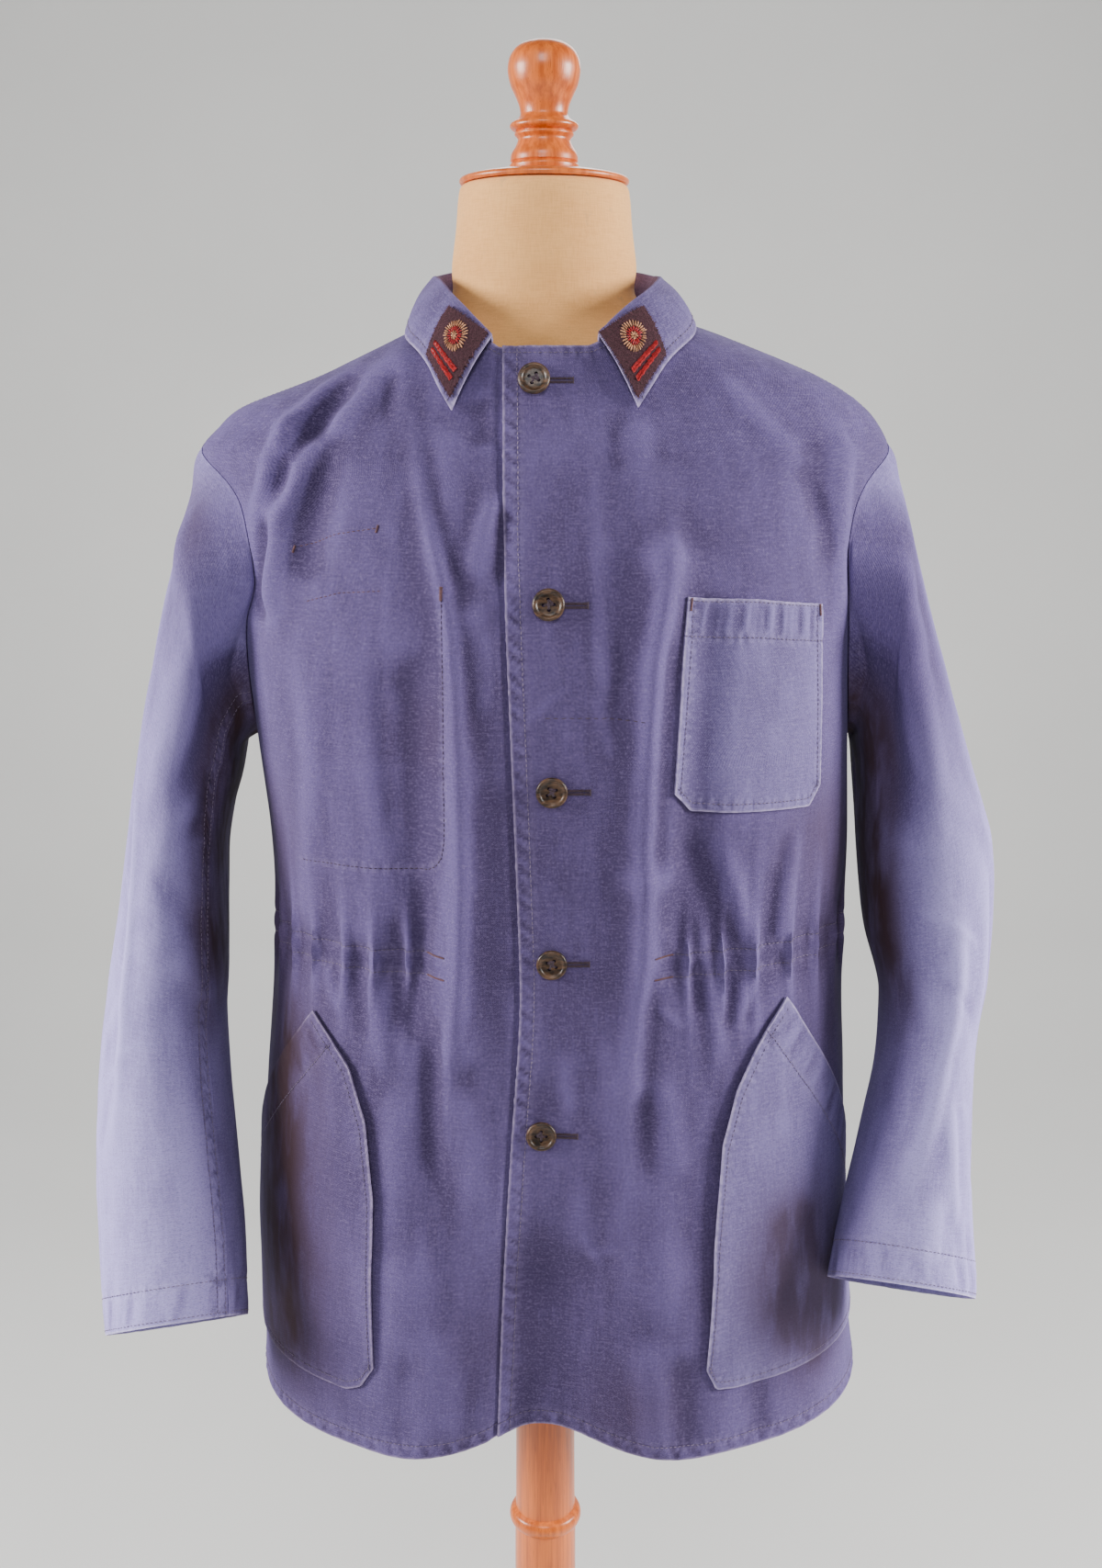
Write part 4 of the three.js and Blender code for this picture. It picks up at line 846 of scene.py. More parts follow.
@dataclass(frozen=True)
class DrillCloth:
    """Washed indigo cotton drill with worn edges.

    Attributes:
        deep: Colour of the painted shade in the folds and where least faded.
        mid: Colour of most of the cloth.
        pale: Colour of the worn edges and specks.
        washed_deep: The same where the dye is washed out.
        washed_mid: The same where the dye is washed out.
        washed_pale: The same where the dye is washed out.
        grime_and_shade: Colour of the grime and of the painted shade.
    """

    deep: Colour = (0.050, 0.033, 0.100)
    mid: Colour = (0.128, 0.094, 0.258)
    pale: Colour = (0.38, 0.30, 0.50)
    washed_deep: Colour = (0.23, 0.18, 0.46)
    washed_mid: Colour = (0.52, 0.45, 0.94)
    washed_pale: Colour = (0.72, 0.66, 1.0)
    grime_and_shade: Colour = (0.050, 0.026, 0.032)

    def make(self, name: str) -> bpy.types.Material:
        """Builds the cloth.

        Args:
            name: The material's name.

        Returns:
            The material.
        """
        w = Wires(name)
        cloth, world = w.place("cloth"), w.place()
        streaks = w.stretched(world, 1.0, 1.0, 0.28)
        clouds = w.noise(streaks, 16.0, 4.0, 0.6)
        patches = w.noise(streaks, 60.0, 3.0, 0.55)
        warp = w.noise(w.stretched(cloth, 1.0, 0.05), 0.9, 3.0, 0.6)
        weft = w.noise(w.stretched(cloth, 0.05, 1.0), 0.9, 3.0, 0.6)
        speck = w.noise(cloth, 0.42, 3.0, 0.85)
        grain = w.noise(cloth, 1.0, 2.0, 0.8)
        pick = w.noise(w.stretched(cloth, 0.09, 1.0), 1.0, 2.0, 0.7)
        twill = w.wave(w.stretched(cloth, 1.0, 1.0, 1.0, 0.9), 0.30, 1.2)
        high, washed = w.attribute("high"), w.attribute("washed")
        tone_and_shading = w.range(clouds, 0.34, 0.68, 0.12, 0.5)
        # Fold heights lighten the crests, partly as wear, and darken the troughs as painted shade.
        for source, low, top, dark, bright in ((patches, 0.35, 0.7, -0.16, 0.18), (high, -2.2, 2.2, -0.55, 0.65),
                                               (warp, 0.3, 0.72, -0.12, 0.14), (weft, 0.3, 0.72, -0.10, 0.12)):
            tone_and_shading = w.math("ADD", tone_and_shading, w.range(source, low, top, dark, bright))
        # Painted light: the cloth is paler away from the middle, towards the sides of the body and the sleeves.
        across = w.math("ABSOLUTE", w.node("SeparateXYZ", Vector=world).outputs[0])
        tone_and_shading = w.math("ADD", tone_and_shading, w.range(across, 0.09, 0.20, 0.02, 0.42), True)
        pairs = (self.deep, self.washed_deep), (self.mid, self.washed_mid), (self.pale, self.washed_pale)
        deep, mid, pale = (w.mix(washed, a, b) for a, b in pairs)
        light = w.mix(0.45, mid, pale)
        colour = w.mix(tone_and_shading, deep, mid)
        for source, low, top, share, other in (
                (speck, 0.50, 0.72, 0.5, light), (speck, 0.48, 0.28, 0.55, deep), (grain, 0.50, 0.74, 0.55, light),
                (grain, 0.50, 0.28, 0.55, deep), (pick, 0.52, 0.75, 0.3, light), (twill, 0.2, 0.9, 0.08, pale)):
            colour = w.mix(w.math("MULTIPLY", w.range(source, low, top), share), colour, other)
        rub = w.noise(w.stretched(cloth, 0.35, 0.35), 0.5, 4.0, 0.7)
        edge = w.range(w.attribute("worn"), 0.2, 2.3, 1.0, 0.0)
        edge = w.math("MULTIPLY", edge, w.range(rub, 0.3, 0.62, 0.25, 0.95))
        colour = w.mix(edge, colour, pale)
        seam = w.attribute("seam")
        sway = w.math("MULTIPLY", w.noise(world, 90.0, 2.0), 7.0)
        bead = w.math("SINE", w.math("ADD", w.math("MULTIPLY", w.attribute("run"), 0.82), sway))
        near = w.range(seam, 0.9, 6.0, 1.0, 0.0)
        crest = w.math("MULTIPLY", w.math("MULTIPLY", near, 0.34), w.range(bead, -0.8, 1.0, 0.35, 0.95))
        crest = w.math("MULTIPLY", crest, w.range(rub, 0.32, 0.66, 0.35, 1.0))
        colour = w.mix(crest, colour, light)
        colour = w.mix(w.range(seam, 0.2, 1.2, 0.62, 0.0), colour, deep)
        # Grime and painted shade darken the cloth through one mask and one colour: shade on the body's sides, beside a
        # lower pocket and under the arms.
        dirt_and_shade = w.math("MULTIPLY", w.attribute("dirt_and_shade"), w.range(patches, 0.3, 0.62, 0.55, 1.0))
        colour = w.mix(dirt_and_shade, colour, self.grime_and_shade)
        rough = w.math("ADD", w.range(speck, 0.3, 0.7, 0.84, 0.95), w.math("MULTIPLY", dirt_and_shade, -0.06))
        crumple = w.noise(world, 48.0, 5.0, 0.55)
        slub = w.noise(w.stretched(cloth, 1.0, 0.35), 1.1, 3.0, 0.6)
        relief = w.bump(crumple, 0.0022, 0.34)
        relief = w.bump(w.math("MULTIPLY", bead, w.math("MULTIPLY", near, 0.5)), 0.0008, 0.5, relief)
        relief = w.bump(slub, 0.00035, 0.5, relief)
        relief = w.bump(grain, 0.00018, 0.5, relief)
        relief = w.bump(twill, 0.00018, 0.35, relief)
        return w.finish(Base_Color=colour, Roughness=rough, Normal=relief, Specular_IOR_Level=0.12,
                        Sheen_Weight=0.08, Sheen_Roughness=0.5, Sheen_Tint=(0.6, 0.6, 0.98))


@dataclass(frozen=True)
class SewingThread:
    """Twisted cotton thread."""

    thread: Thread

    def make(self, name: str) -> bpy.types.Material:
        """Builds the thread's material."""
        w = Wires(name)
        colour = self.thread.value
        tone = w.noise(w.place(), 900.0, 2.0)
        shade = w.mix(w.range(tone, 0.3, 0.7), tint(colour, 0.7), tint(colour, 1.3))
        twist = w.wave(w.stretched(w.place(), 1.0, 1.0, 1.0, 0.8), 900.0)
        return w.finish(Base_Color=shade, Roughness=0.75, Normal=w.bump(twist, 0.0001, 0.5), Sheen_Weight=0.2)


@dataclass(frozen=True)
class WoolFelt:
    """Dark felt with a soft nap."""

    colour: Colour = (0.030, 0.009, 0.014)

    def make(self, name: str) -> bpy.types.Material:
        """Builds the felt."""
        w = Wires(name)
        fibre = w.noise(w.place(), 1400.0, 5.0, 0.75)
        tufts = w.noise(w.place(), 520.0, 3.0, 0.6)
        colour = w.mix(w.range(fibre, 0.35, 0.7), tint(self.colour, 0.5), tint(self.colour, 3.0))
        relief = w.bump(tufts, 0.0009, 0.8, w.bump(fibre, 0.0004, 0.8))
        return w.finish(Base_Color=colour, Roughness=0.95, Normal=relief, Sheen_Weight=0.35,
                        Sheen_Tint=(0.5, 0.2, 0.25))


@dataclass(frozen=True)
class SatinStitch:
    """Shiny embroidery thread laid side by side.

    Attributes:
        colour: The thread's colour.
        metal: How metallic it is.
    """

    colour: Colour
    metal: float = 0.0

    def make(self, name: str) -> bpy.types.Material:
        """Builds the embroidery's material."""
        w = Wires(name)
        grain = w.noise(w.place(), 700.0, 3.0, 0.6)
        lay = w.wave(w.stretched(w.place(), 1.0, 0.3, 1.0, 0.6), 620.0, 2.0)
        colour = w.mix(w.range(grain, 0.3, 0.7), tint(self.colour, 0.45), tint(self.colour, 1.25))
        return w.finish(Base_Color=colour, Roughness=0.42, Metallic=self.metal, Normal=w.bump(lay, 0.0003, 0.7))


@dataclass(frozen=True)
class PlainLinen:
    """Natural linen stretched over the form."""

    light: Colour = (0.97, 0.50, 0.17)
    dark: Colour = (0.82, 0.38, 0.115)

    def make(self, name: str) -> bpy.types.Material:
        """Builds the linen."""
        w = Wires(name)
        place = w.place()
        across = w.noise(w.stretched(place, 90.0, 90.0, 1500.0), 1.0, 3.0, 0.6)
        down = w.noise(w.stretched(place, 1500.0, 1500.0, 90.0), 1.0, 3.0, 0.6)
        clouds = w.noise(place, 22.0, 4.0, 0.6)
        weave = w.math("MULTIPLY", w.math("ADD", across, down), 0.5)
        share = w.math("ADD", w.range(weave, 0.36, 0.62, 0.15, 0.85), w.range(clouds, 0.3, 0.7, -0.25, 0.2), True)
        colour = w.mix(share, self.dark, self.light)
        spots = w.noise(place, 95.0, 3.0, 0.7)
        colour = w.mix(w.range(spots, 0.63, 0.78, 0.0, 0.35), colour, (0.42, 0.27, 0.15))
        return w.finish(Base_Color=colour, Roughness=0.86, Normal=w.bump(weave, 0.0005, 0.5), Sheen_Weight=0.12)


@dataclass(frozen=True)
class VarnishedWood:
    """Turned hardwood with a satin varnish."""

    light: Colour = (0.86, 0.195, 0.022)
    dark: Colour = (0.46, 0.080, 0.009)
    lying: bool = False

    def make(self, name: str) -> bpy.types.Material:
        """Builds the wood."""
        w = Wires(name)
        place = w.place()
        along, up = (0.035, 1.0) if self.lying else (1.0, 0.035)
        grain = w.noise(w.stretched(place, 260.0 * along, 260.0, 260.0 * up), 1.0, 5.0, 0.62)
        figure = w.noise(w.stretched(place, 40.0 * max(along, 0.15), 40.0, 40.0 * max(up, 0.15)), 1.0, 3.0, 0.5)
        pores = w.noise(w.stretched(place, 1500.0 * along, 1500.0, 1500.0 * up), 1.0, 2.0, 0.5)
        share = w.math("ADD", w.range(grain, 0.32, 0.68, 0.0, 0.7), w.range(figure, 0.3, 0.7, 0.0, 0.35), True)
        colour = w.mix(share, self.dark, self.light)
        colour = w.mix(w.range(pores, 0.62, 0.75, 0.0, 0.6), colour, tint(self.dark, 0.5))
        rough = w.range(grain, 0.3, 0.7, 0.3, 0.44)
        return w.finish(Base_Color=colour, Roughness=rough, Normal=w.bump(pores, 0.0002, 0.4),
                        Coat_Weight=0.35, Coat_Roughness=0.22)


@dataclass(frozen=True)
class DarkHorn:
    """Dark marbled button material with a worn shine."""

    def make(self, name: str) -> bpy.types.Material:
        """Builds the button's material."""
        w = Wires(name)
        marble = w.noise(w.stretched(w.place(), 1.0, 1.0, 2.4), 150.0, 5.0, 0.65)
        fine = w.noise(w.place(), 1100.0, 2.0)
        colour = w.mix(w.range(marble, 0.35, 0.7), (0.014, 0.008, 0.006), (0.13, 0.066, 0.034))
        return w.finish(Base_Color=colour, Roughness=w.range(fine, 0.3, 0.7, 0.34, 0.5),
                        Normal=w.bump(fine, 0.0001, 0.4), Coat_Weight=0.08, Specular_IOR_Level=0.4)


@dataclass(frozen=True)
class StudioPaper:
    """Pale studio floor and wall."""

    def make(self, name: str) -> bpy.types.Material:
        """Builds the paper."""
        w = Wires(name)
        tone = w.noise(w.place(), 3.0, 3.0)
        return w.finish(Base_Color=w.mix(tone, (0.72, 0.72, 0.71), (0.78, 0.78, 0.77)), Roughness=0.9)


class Stitching:
    """All the stitches of one thread on one piece."""

    def __init__(self, name: str) -> None:
        """Starts with no stitches."""
        self.name = name
        self.vertices: list[np.ndarray] = []
        self.faces: list[tuple[int, ...]] = []

    def add_stitch(self, start: np.ndarray, end: np.ndarray, up: np.ndarray, thick: float) -> None:
        """Adds one stitch that arches between two needle holes.

        Args:
            start: Where it comes up.
            end: Where it goes down.
            up: The cloth's outward direction.
            thick: Half of the thread's thickness.
        """
        along = end - start
        side = unit(np.cross(up, along))
        base = sum(len(block) for block in self.vertices)
        ring = []
        for share, rise, size in ((0.0, -0.3, 0.5), (0.25, 0.05, 1.0), (0.75, 0.05, 1.0), (1.0, -0.3, 0.5)):
            middle = start + along * share + up * rise
            for s, u in ((-1, 0), (0, 1), (1, 0), (0, -1)):
                ring.append(middle + (side * s + up * u) * thick * size)
        self.vertices.append(np.array(ring))
        for k in range(3):
            for j in range(4):
                a, b = base + 4 * k + j, base + 4 * k + (j + 1) % 4
                self.faces.append((a, a + 4, b + 4, b))
        self.faces.append((base, base + 1, base + 2, base + 3))
        self.faces.append((base + 15, base + 14, base + 13, base + 12))

    def add_seam(self, seam: Seam, thick: float = 0.27) -> None:
        """Adds a whole line of stitches."""
        reach = run_along(seam.path)
        count = int(reach[-1] / seam.pitch)
        for i in range(count):
            ends = [(i + 0.12) * seam.pitch, (i + 0.85) * seam.pitch]
            start, end = (np.array([np.interp(e, reach, seam.path[:, k]) for k in range(3)]) for e in ends)
            up = np.array([np.interp(ends[0], reach, seam.normal[:, k]) for k in range(3)])
            sway = 0.22 * math.sin(i * 2.4)
            side = unit(np.cross(up, end - start))
            if seam.bar:
                half = side * seam.bar * (0.5 + 0.12 * math.sin(i * 2.4))
                self.add_stitch(start - half + up * 0.3, start + half + up * 0.3, up, 0.3)
            else:
                self.add_stitch(start + side * sway, end - side * sway, up, thick)

    def build(self, material: bpy.types.Material) -> None:
        """Builds the stitches as one piece."""
        if self.vertices:
            thing = new_object(self.name, np.concatenate(self.vertices), self.faces, 70)
            thing.data.materials.append(material)


def sew_sheet(sheet: Sheet, threads: dict[Thread, bpy.types.Material]) -> None:
    """Builds the stitches of a sheet, a piece for each thread."""
    for thread in Thread:
        lines = [seam for seam in sheet.seams if seam.thread is thread]
        if lines:
            stitching = Stitching(f"stitches_{thread.name.lower()}_{sheet.name}")
            for seam in lines:
                stitching.add_seam(seam)
            stitching.build(threads[thread])


@dataclass
class JacketBody:
    """The fronts, the back and everything sewn onto them.

    Attributes:
        rows: Rows of the fine cloth.
        front_columns: Columns of each front.
        back_columns: Columns of the back.
        arc: Millimetres round the body for each degree.
    """

    rows: int = 290
    front_columns: int = 118
    back_columns: int = 146
    arc: float = 2.6
    shape: BodyShape = field(default_factory=BodyShape)
    sheets: dict[str, Sheet] = field(default_factory=dict)
    ends: dict[str, Callable[[np.ndarray], tuple[np.ndarray, np.ndarray]]] = field(default_factory=dict)

    def panel(self, name: str, columns: int, ends: Callable[[np.ndarray], tuple[np.ndarray, np.ndarray]],
              edges: str) -> Sheet:
        """Makes one body panel.

        Args:
            name: The panel's name.
            columns: Its columns.
            ends: Gives the turns at which its rows start and end.
            edges: Its finished edges.

        Returns:
            The panel.
        """
        z = np.linspace(HEM, TOP, self.rows)
        self.ends[name] = ends
        start, end = ends(z)
        share = np.linspace(0, 1, columns)
        turn = start[:, None] + (end - start)[:, None] * share
        height = self.shape.row_height(z[:, None], turn)
        relief = self.shape.relief(turn, height)
        grid = self.shape.point(turn, height)
        if name == "front_right":
            edge = FRONT_EDGE.at(np.minimum(height, FRONT_TOP), "x")
            sink = (WALL + 0.6) * smooth_step(-7, -1, self.shape.plain(turn, height)[..., 0] - edge)
            grid = grid - self.shape.normal(turn, height) * sink[..., None]
        width = np.linalg.norm(np.diff(grid, axis=1), axis=-1).mean(1).mean() * (columns - 1)
        cloth = np.stack([share[None, :] * width + 0 * height, height], -1)
        sheet = Sheet(name, grid, cloth, WALL, edges, relief)
        sheet.dirt_and_shade = self.grime_and_shade(grid)
        self.sheets[name] = sheet
        return sheet

    def grime_and_shade(self, grid: np.ndarray) -> np.ndarray:
        """Grime near the pockets and hem, and painted shade on the body's sides and beside the wearer's right lower
        pocket.
        """
        # Spots at x about ±200 with y -30 to -10 are painted shade on the body's sides. Those at x -194 and -190 mix
        # grime with painted shade beside the wearer's right pocket. The rest are grime.
        spots = ((184, -96, 828, 50, 1.5), (170, -105, 868, 34, 0.6), (196, -84, 780, 40, 0.9),
                 (-194, -84, 770, 46, 0.95), (-194, -84, 840, 52, 1.0), (-194, -80, 920, 52, 1.0),
                 (-190, -80, 990, 44, 0.8),
                 (60, -140, 745, 34, 0.35), (-40, -130, 800, 30, 0.2), (-70, -130, 1220, 30, 0.2),
                 (176, -90, 1150, 30, 0.3), (-204, -30, 1130, 60, 0.8), (212, -30, 1120, 60, 0.85),
                 (205, -20, 1000, 60, 0.7), (-200, -10, 1020, 60, 0.7))
        total = np.zeros(grid.shape[:2])
        for x, y, z, size, depth in spots:
            far = ((grid[..., 0] - x) ** 2 + (grid[..., 1] - y) ** 2 + (grid[..., 2] - z) ** 2) / size ** 2
            total += depth * np.exp(-far)
        return np.clip(total, 0, 1)

    def places(self, sheet: Sheet, outline: Sequence[Place], turns: bool = False) -> np.ndarray:
        """Finds where points of the front lie in a panel's grid.

        Args:
            sheet: The panel.
            outline: Points as x and z, or as turns and z.
            turns: True where the first number is a turn.

        Returns:
            Rows and columns.
        """
        points = resample(np.array(outline, float), max(36, len(outline)))
        turn = points[:, 0] if turns else self.shape.turn_at(points[:, 0], points[:, 1])
        return self.find(sheet, turn, points[:, 1])

    def find(self, sheet: Sheet, turn: np.ndarray, height: np.ndarray) -> np.ndarray:
        """Finds rows and columns of a panel from turns and heights."""
        z = height.copy()
        for _ in range(30):
            z = z + height - self.shape.row_height(z, turn)
        start, end = self.ends[sheet.name](z.reshape(-1))
        start, end = start.reshape(z.shape), end.reshape(z.shape)
        rows, columns = sheet.grid.shape[:2]
        return np.stack([(z - HEM) / (TOP - HEM) * (rows - 1), (turn - start) / (end - start) * (columns - 1)], -1)

    def under(self, sheet: Sheet, sides: Sequence[Sequence[Place]], shape: tuple[int, int],
              turns: bool = False) -> np.ndarray:
        """Finds the places of a panel under another piece.

        Args:
            sheet: The panel.
            sides: The piece's bottom, top, left and right borders, as x and z or as turns and z.
            shape: The piece's rows and columns.
            turns: True where the first number is a turn.

        Returns:
            Rows and columns of the panel for each point of the piece.
        """
        lines = []
        for side in sides:
            points = resample(np.array(side, float), 60)
            turn = points[:, 0] if turns else self.shape.turn_at(points[:, 0], points[:, 1])
            lines.append(np.stack([turn * self.arc, points[:, 1]], -1))
        grid = fill(lines, shape)
        return self.find(sheet, grid[..., 0] / self.arc, grid[..., 1])

    def lay(self) -> None:
        """Makes the three body panels and their seams."""
        shape = self.shape

        def edge_turn(z: np.ndarray, step: float) -> np.ndarray:
            """Turn of a line beside the front edge."""
            height = shape.row_height(z, np.zeros_like(z))
            return shape.turn_at(FRONT_EDGE.at(np.minimum(height, FRONT_TOP), "x") + step, height)

        left = self.panel("front_left", self.front_columns,
                          lambda z: (edge_turn(z, 0), shape.seam_turn(z, "front")), "left bottom top")
        right = self.panel("front_right", self.front_columns,
                           lambda z: (-shape.seam_turn(z, "front"), edge_turn(z, 45)), "bottom top")
        back = self.panel("back", self.back_columns,
                          lambda z: (180 - shape.seam_turn(z, "back"), 180 + shape.seam_turn(z, "back")), "bottom")
        left.ripple("left", 9.5, 1.2, 7.7, 0.8, 1.0)
        left.sew(left.inset("left", 9.5))
        for seed, sheet in enumerate((left, right, back)):
            sheet.ripple("bottom", 10.5, 1.3, 8.4, 0.5, seed)
            sheet.sew(sheet.inset("bottom", 10.5))
        left.sew(left.inset("top", 5.0, 0.0, 0.5))
        right.sew(right.inset("top", 5.0, 0.5, 1.0))
        armhole = ((ARMPIT - HEM) / (TOP - HEM), (TIP - HEM) / (TOP - HEM))
        left.sew(left.inset("right", 3.0, armhole[1], 1.0))
        right.sew(right.inset("left", 3.0, armhole[1], 1.0))
        for side in ("left", "right"):
            for span in ((armhole[1], 1.0), (0.0, armhole[0])):
                for far in (3.0, 9.0):
                    back.sew(back.inset(side, far, *span))

    def lines(self) -> None:
        """Sews the lines that hold the hidden pocket and the waist casing, and the old repair lines."""
        left, right = self.sheets["front_left"], self.sheets["front_right"]
        pocket = resample(self.places(right, [(-62, 1308), (-62.5, 1240), (-63, 1150), (-66, 1136), (-73, 1129),
                                              (-110, 1128), (-160, 1127)]), 240)
        right.sew(pocket, Thread.PURPLE, 3.4, 0.85)
        right.tack(self.places(right, [(-62, 1311), (-62.4, 1302)]), Thread.RUST)
        for line in ([(-104, 1346), (-130, 1342), (-158, 1333)], [(-101, 1308), (-128, 1306), (-152, 1299)]):
            right.sew(resample(self.places(right, line), 90), Thread.RUST, 3.4, 0.25)
        for x, z in ((-104, 1346), (-159, 1332)):
            right.tack(self.places(right, [(x, z - 2.5), (x + 1.5, z + 2.5)]), Thread.RUST, 1.6)
        left.sew(resample(self.places(left, [(0, 1231), (40, 1231), (68, 1228)]), 90), Thread.PURPLE, 5.0, 0.12)
        for height, starts in zip(CASING_ROWS, ((-64, 71), (-66, 72))):
            for sheet, start, last in ((right, starts[0], -86), (left, starts[1], 86)):
                turns = np.linspace(one_turn(self.shape, start, height), last, 60)
                row = self.places(sheet, [(turn, height) for turn in turns], True)
                sheet.sew(resample(row, 260), pitch=3.0)
        for sheet, x, way in ((left, 71.5, 1), (right, -64.5, -1)):
            for z in CASING_ROWS:
                sheet.tack(self.places(sheet, [(x, z), (x + way * 14, z)]), Thread.RUST, 1.2)

    def pockets(self) -> None:
        """Lays the chest pocket and the two lower pockets on the fronts."""
        left, right = self.sheets["front_left"], self.sheets["front_right"]
        chest = left.patch("chest_pocket", self.under(left, [
            [(82, 1181), (94, 1168), (134, 1166), (173, 1164), (181, 1177)], [(88, 1305), (133, 1302), (178, 1296)],
            [(82, 1181), (85, 1243), (88, 1305)], [(181, 1177), (180, 1236), (178, 1296)]], (84, 64)),
            0.7, 1.6, "bottom top left right")
        chest.ripple("top", 24, 1.5, 9.0, 0.1, 2.0)
        chest.sew(chest.inset("top", 24))
        chest.sew(chest.inset("top", 1.8), worn=0.4)
        for side in ("left", "right", "bottom"):
            chest.sew(chest.inset(side, 5.5, 0.02, 0.98))
        rows, columns = chest.grid.shape[:2]
        for column in (1.6, columns - 2.6):
            chest.tack(np.array([[rows - 1.2, column], [rows - 6.5, column]]), Thread.RUST, 1.8)
        chest.washed = 0.2
        self.sheets["chest_pocket"] = chest
        self.lower_pocket("lower_pocket_left", left, 1, [(130, 757), (117, 759), (110, 775)], [
            (110, 775), (113, 864), (118, 939), (127, 975), (144, 1009), (163, 1033)], 756, 857)
        self.lower_pocket("lower_pocket_right", right, -1, [(-137, 751), (-126, 757), (-116, 774)], [
            (-116, 774), (-113, 899), (-118, 953), (-129, 988), (-140, 1003), (-156, 1021)], 753, 887)

    def lower_pocket(self, name: str, panel: Sheet, side: int, corner: list[Place],
                     inner: list[Place], low: float, high: float) -> None:
        """Lays one lower pocket with its slanted mouth.

        Args:
            name: The pocket's name.
            panel: The front that it lies on.
            side: 1 on the wearer's left, -1 on the right.
            corner: Points round its lower inner corner.
            inner: Points up its inner edge to its tip.
            low: Height of its bottom at the side seam.
            high: Height of its mouth at the side seam.
        """
        x, z = np.array(corner + inner, float).T
        points = list(zip(self.shape.turn_at(x, z), z))
        end = side * SIDE_TURN
        bottom, edge = [(end, low), *points[:len(corner)]], points[len(corner):]
        mouth, wall = [(end, high), edge[-1]], [(end, low), (end, high)]
        borders = [bottom[::-1], mouth[::-1], edge, wall] if side > 0 else [bottom, mouth, wall, edge]
        near = "left" if side > 0 else "right"
        finished = f"bottom top {near}"
        pocket = panel.patch(name, self.under(panel, borders, (110, 60), True), 0.8, 1.7, finished)
        rows, columns = pocket.grid.shape[:2]
        share = np.linspace(side < 0, side > 0, columns)[None, :]
        rise = np.sin(np.linspace(0, 1, rows) * math.pi)[:, None] ** 0.6
        proud = 3.2 * np.exp(-(share / 0.13) ** 2) * rise
        pocket.grid = pocket.grid + pocket.normals() * proud[..., None]
        # The wearer's left pocket is drawn paler, and with less grime and painted shade, than the right one.
        pocket.dirt_and_shade = self.grime_and_shade(pocket.grid) * (0.8 if side > 0 else 1.0)
        pocket.washed = 0.22 if side > 0 else 0.0
        pocket.ripple("top", 27, 0.9, 13.0, 0.1, side)
        pocket.sew(pocket.inset("top", 27))
        pocket.sew(pocket.inset(near, 6.0, 0.01, 0.99))
        pocket.sew(pocket.inset("bottom", 6.0, 0.02, 0.98))
        self.sheets[name] = pocket

    def hidden(self) -> None:
        """Makes the inner pocket and the waist casings behind the fronts."""
        left, right = self.sheets["front_left"], self.sheets["front_right"]
        self.sheets["inner_pocket"] = right.patch("inner_pocket", self.under(right, [
            [(-170, 1128), (-73, 1130)], [(-164, 1308), (-63, 1308)], [(-170, 1128), (-164, 1308)],
            [(-73, 1130), (-63, 1308)]], (40, 26)), BEHIND, WALL, "top")
        for name, panel, side, start in (("waist_casing_left", left, 1, 71), ("waist_casing_right", right, -1, -64)):
            first = one_turn(self.shape, start, 1064)
            ends = sorted((first, side * SIDE_TURN))
            spans = [[(end, z) for end in ends] for z in (1051.5, 1076.5)]
            sides = [[(end, 1051.5), (end, 1076.5)] for end in ends]
            places = self.under(panel, (*spans, *sides), (8, 60), True)
            self.sheets[name] = panel.patch(name, places, BEHIND)


def one_turn(shape: BodyShape, x: float, z: float) -> float:
    """Turn of one point of the front."""
    return float(shape.turn_at(np.array(float(x)), np.array(float(z))))


def curve_through(keys: np.ndarray, count: int) -> np.ndarray:
    """Draws a smooth curve through keys along the first axis.

    Args:
        keys: The keys, first axis along the curve.
        count: Points wanted.

    Returns:
        The points.
    """
    table = np.linspace(0, len(keys) - 1, count)
    i = np.clip(table.astype(int), 0, len(keys) - 2)
    t = (table - i).reshape(-1, *([1] * (keys.ndim - 1)))
    tangent = np.gradient(keys, axis=0)
    bend = t * t * (3 - 2 * t)
    return (keys[i] * (1 - bend) + keys[i + 1] * bend + (t ** 3 - 2 * t ** 2 + t) * tangent[i]
            + (t ** 3 - t ** 2) * tangent[i + 1])


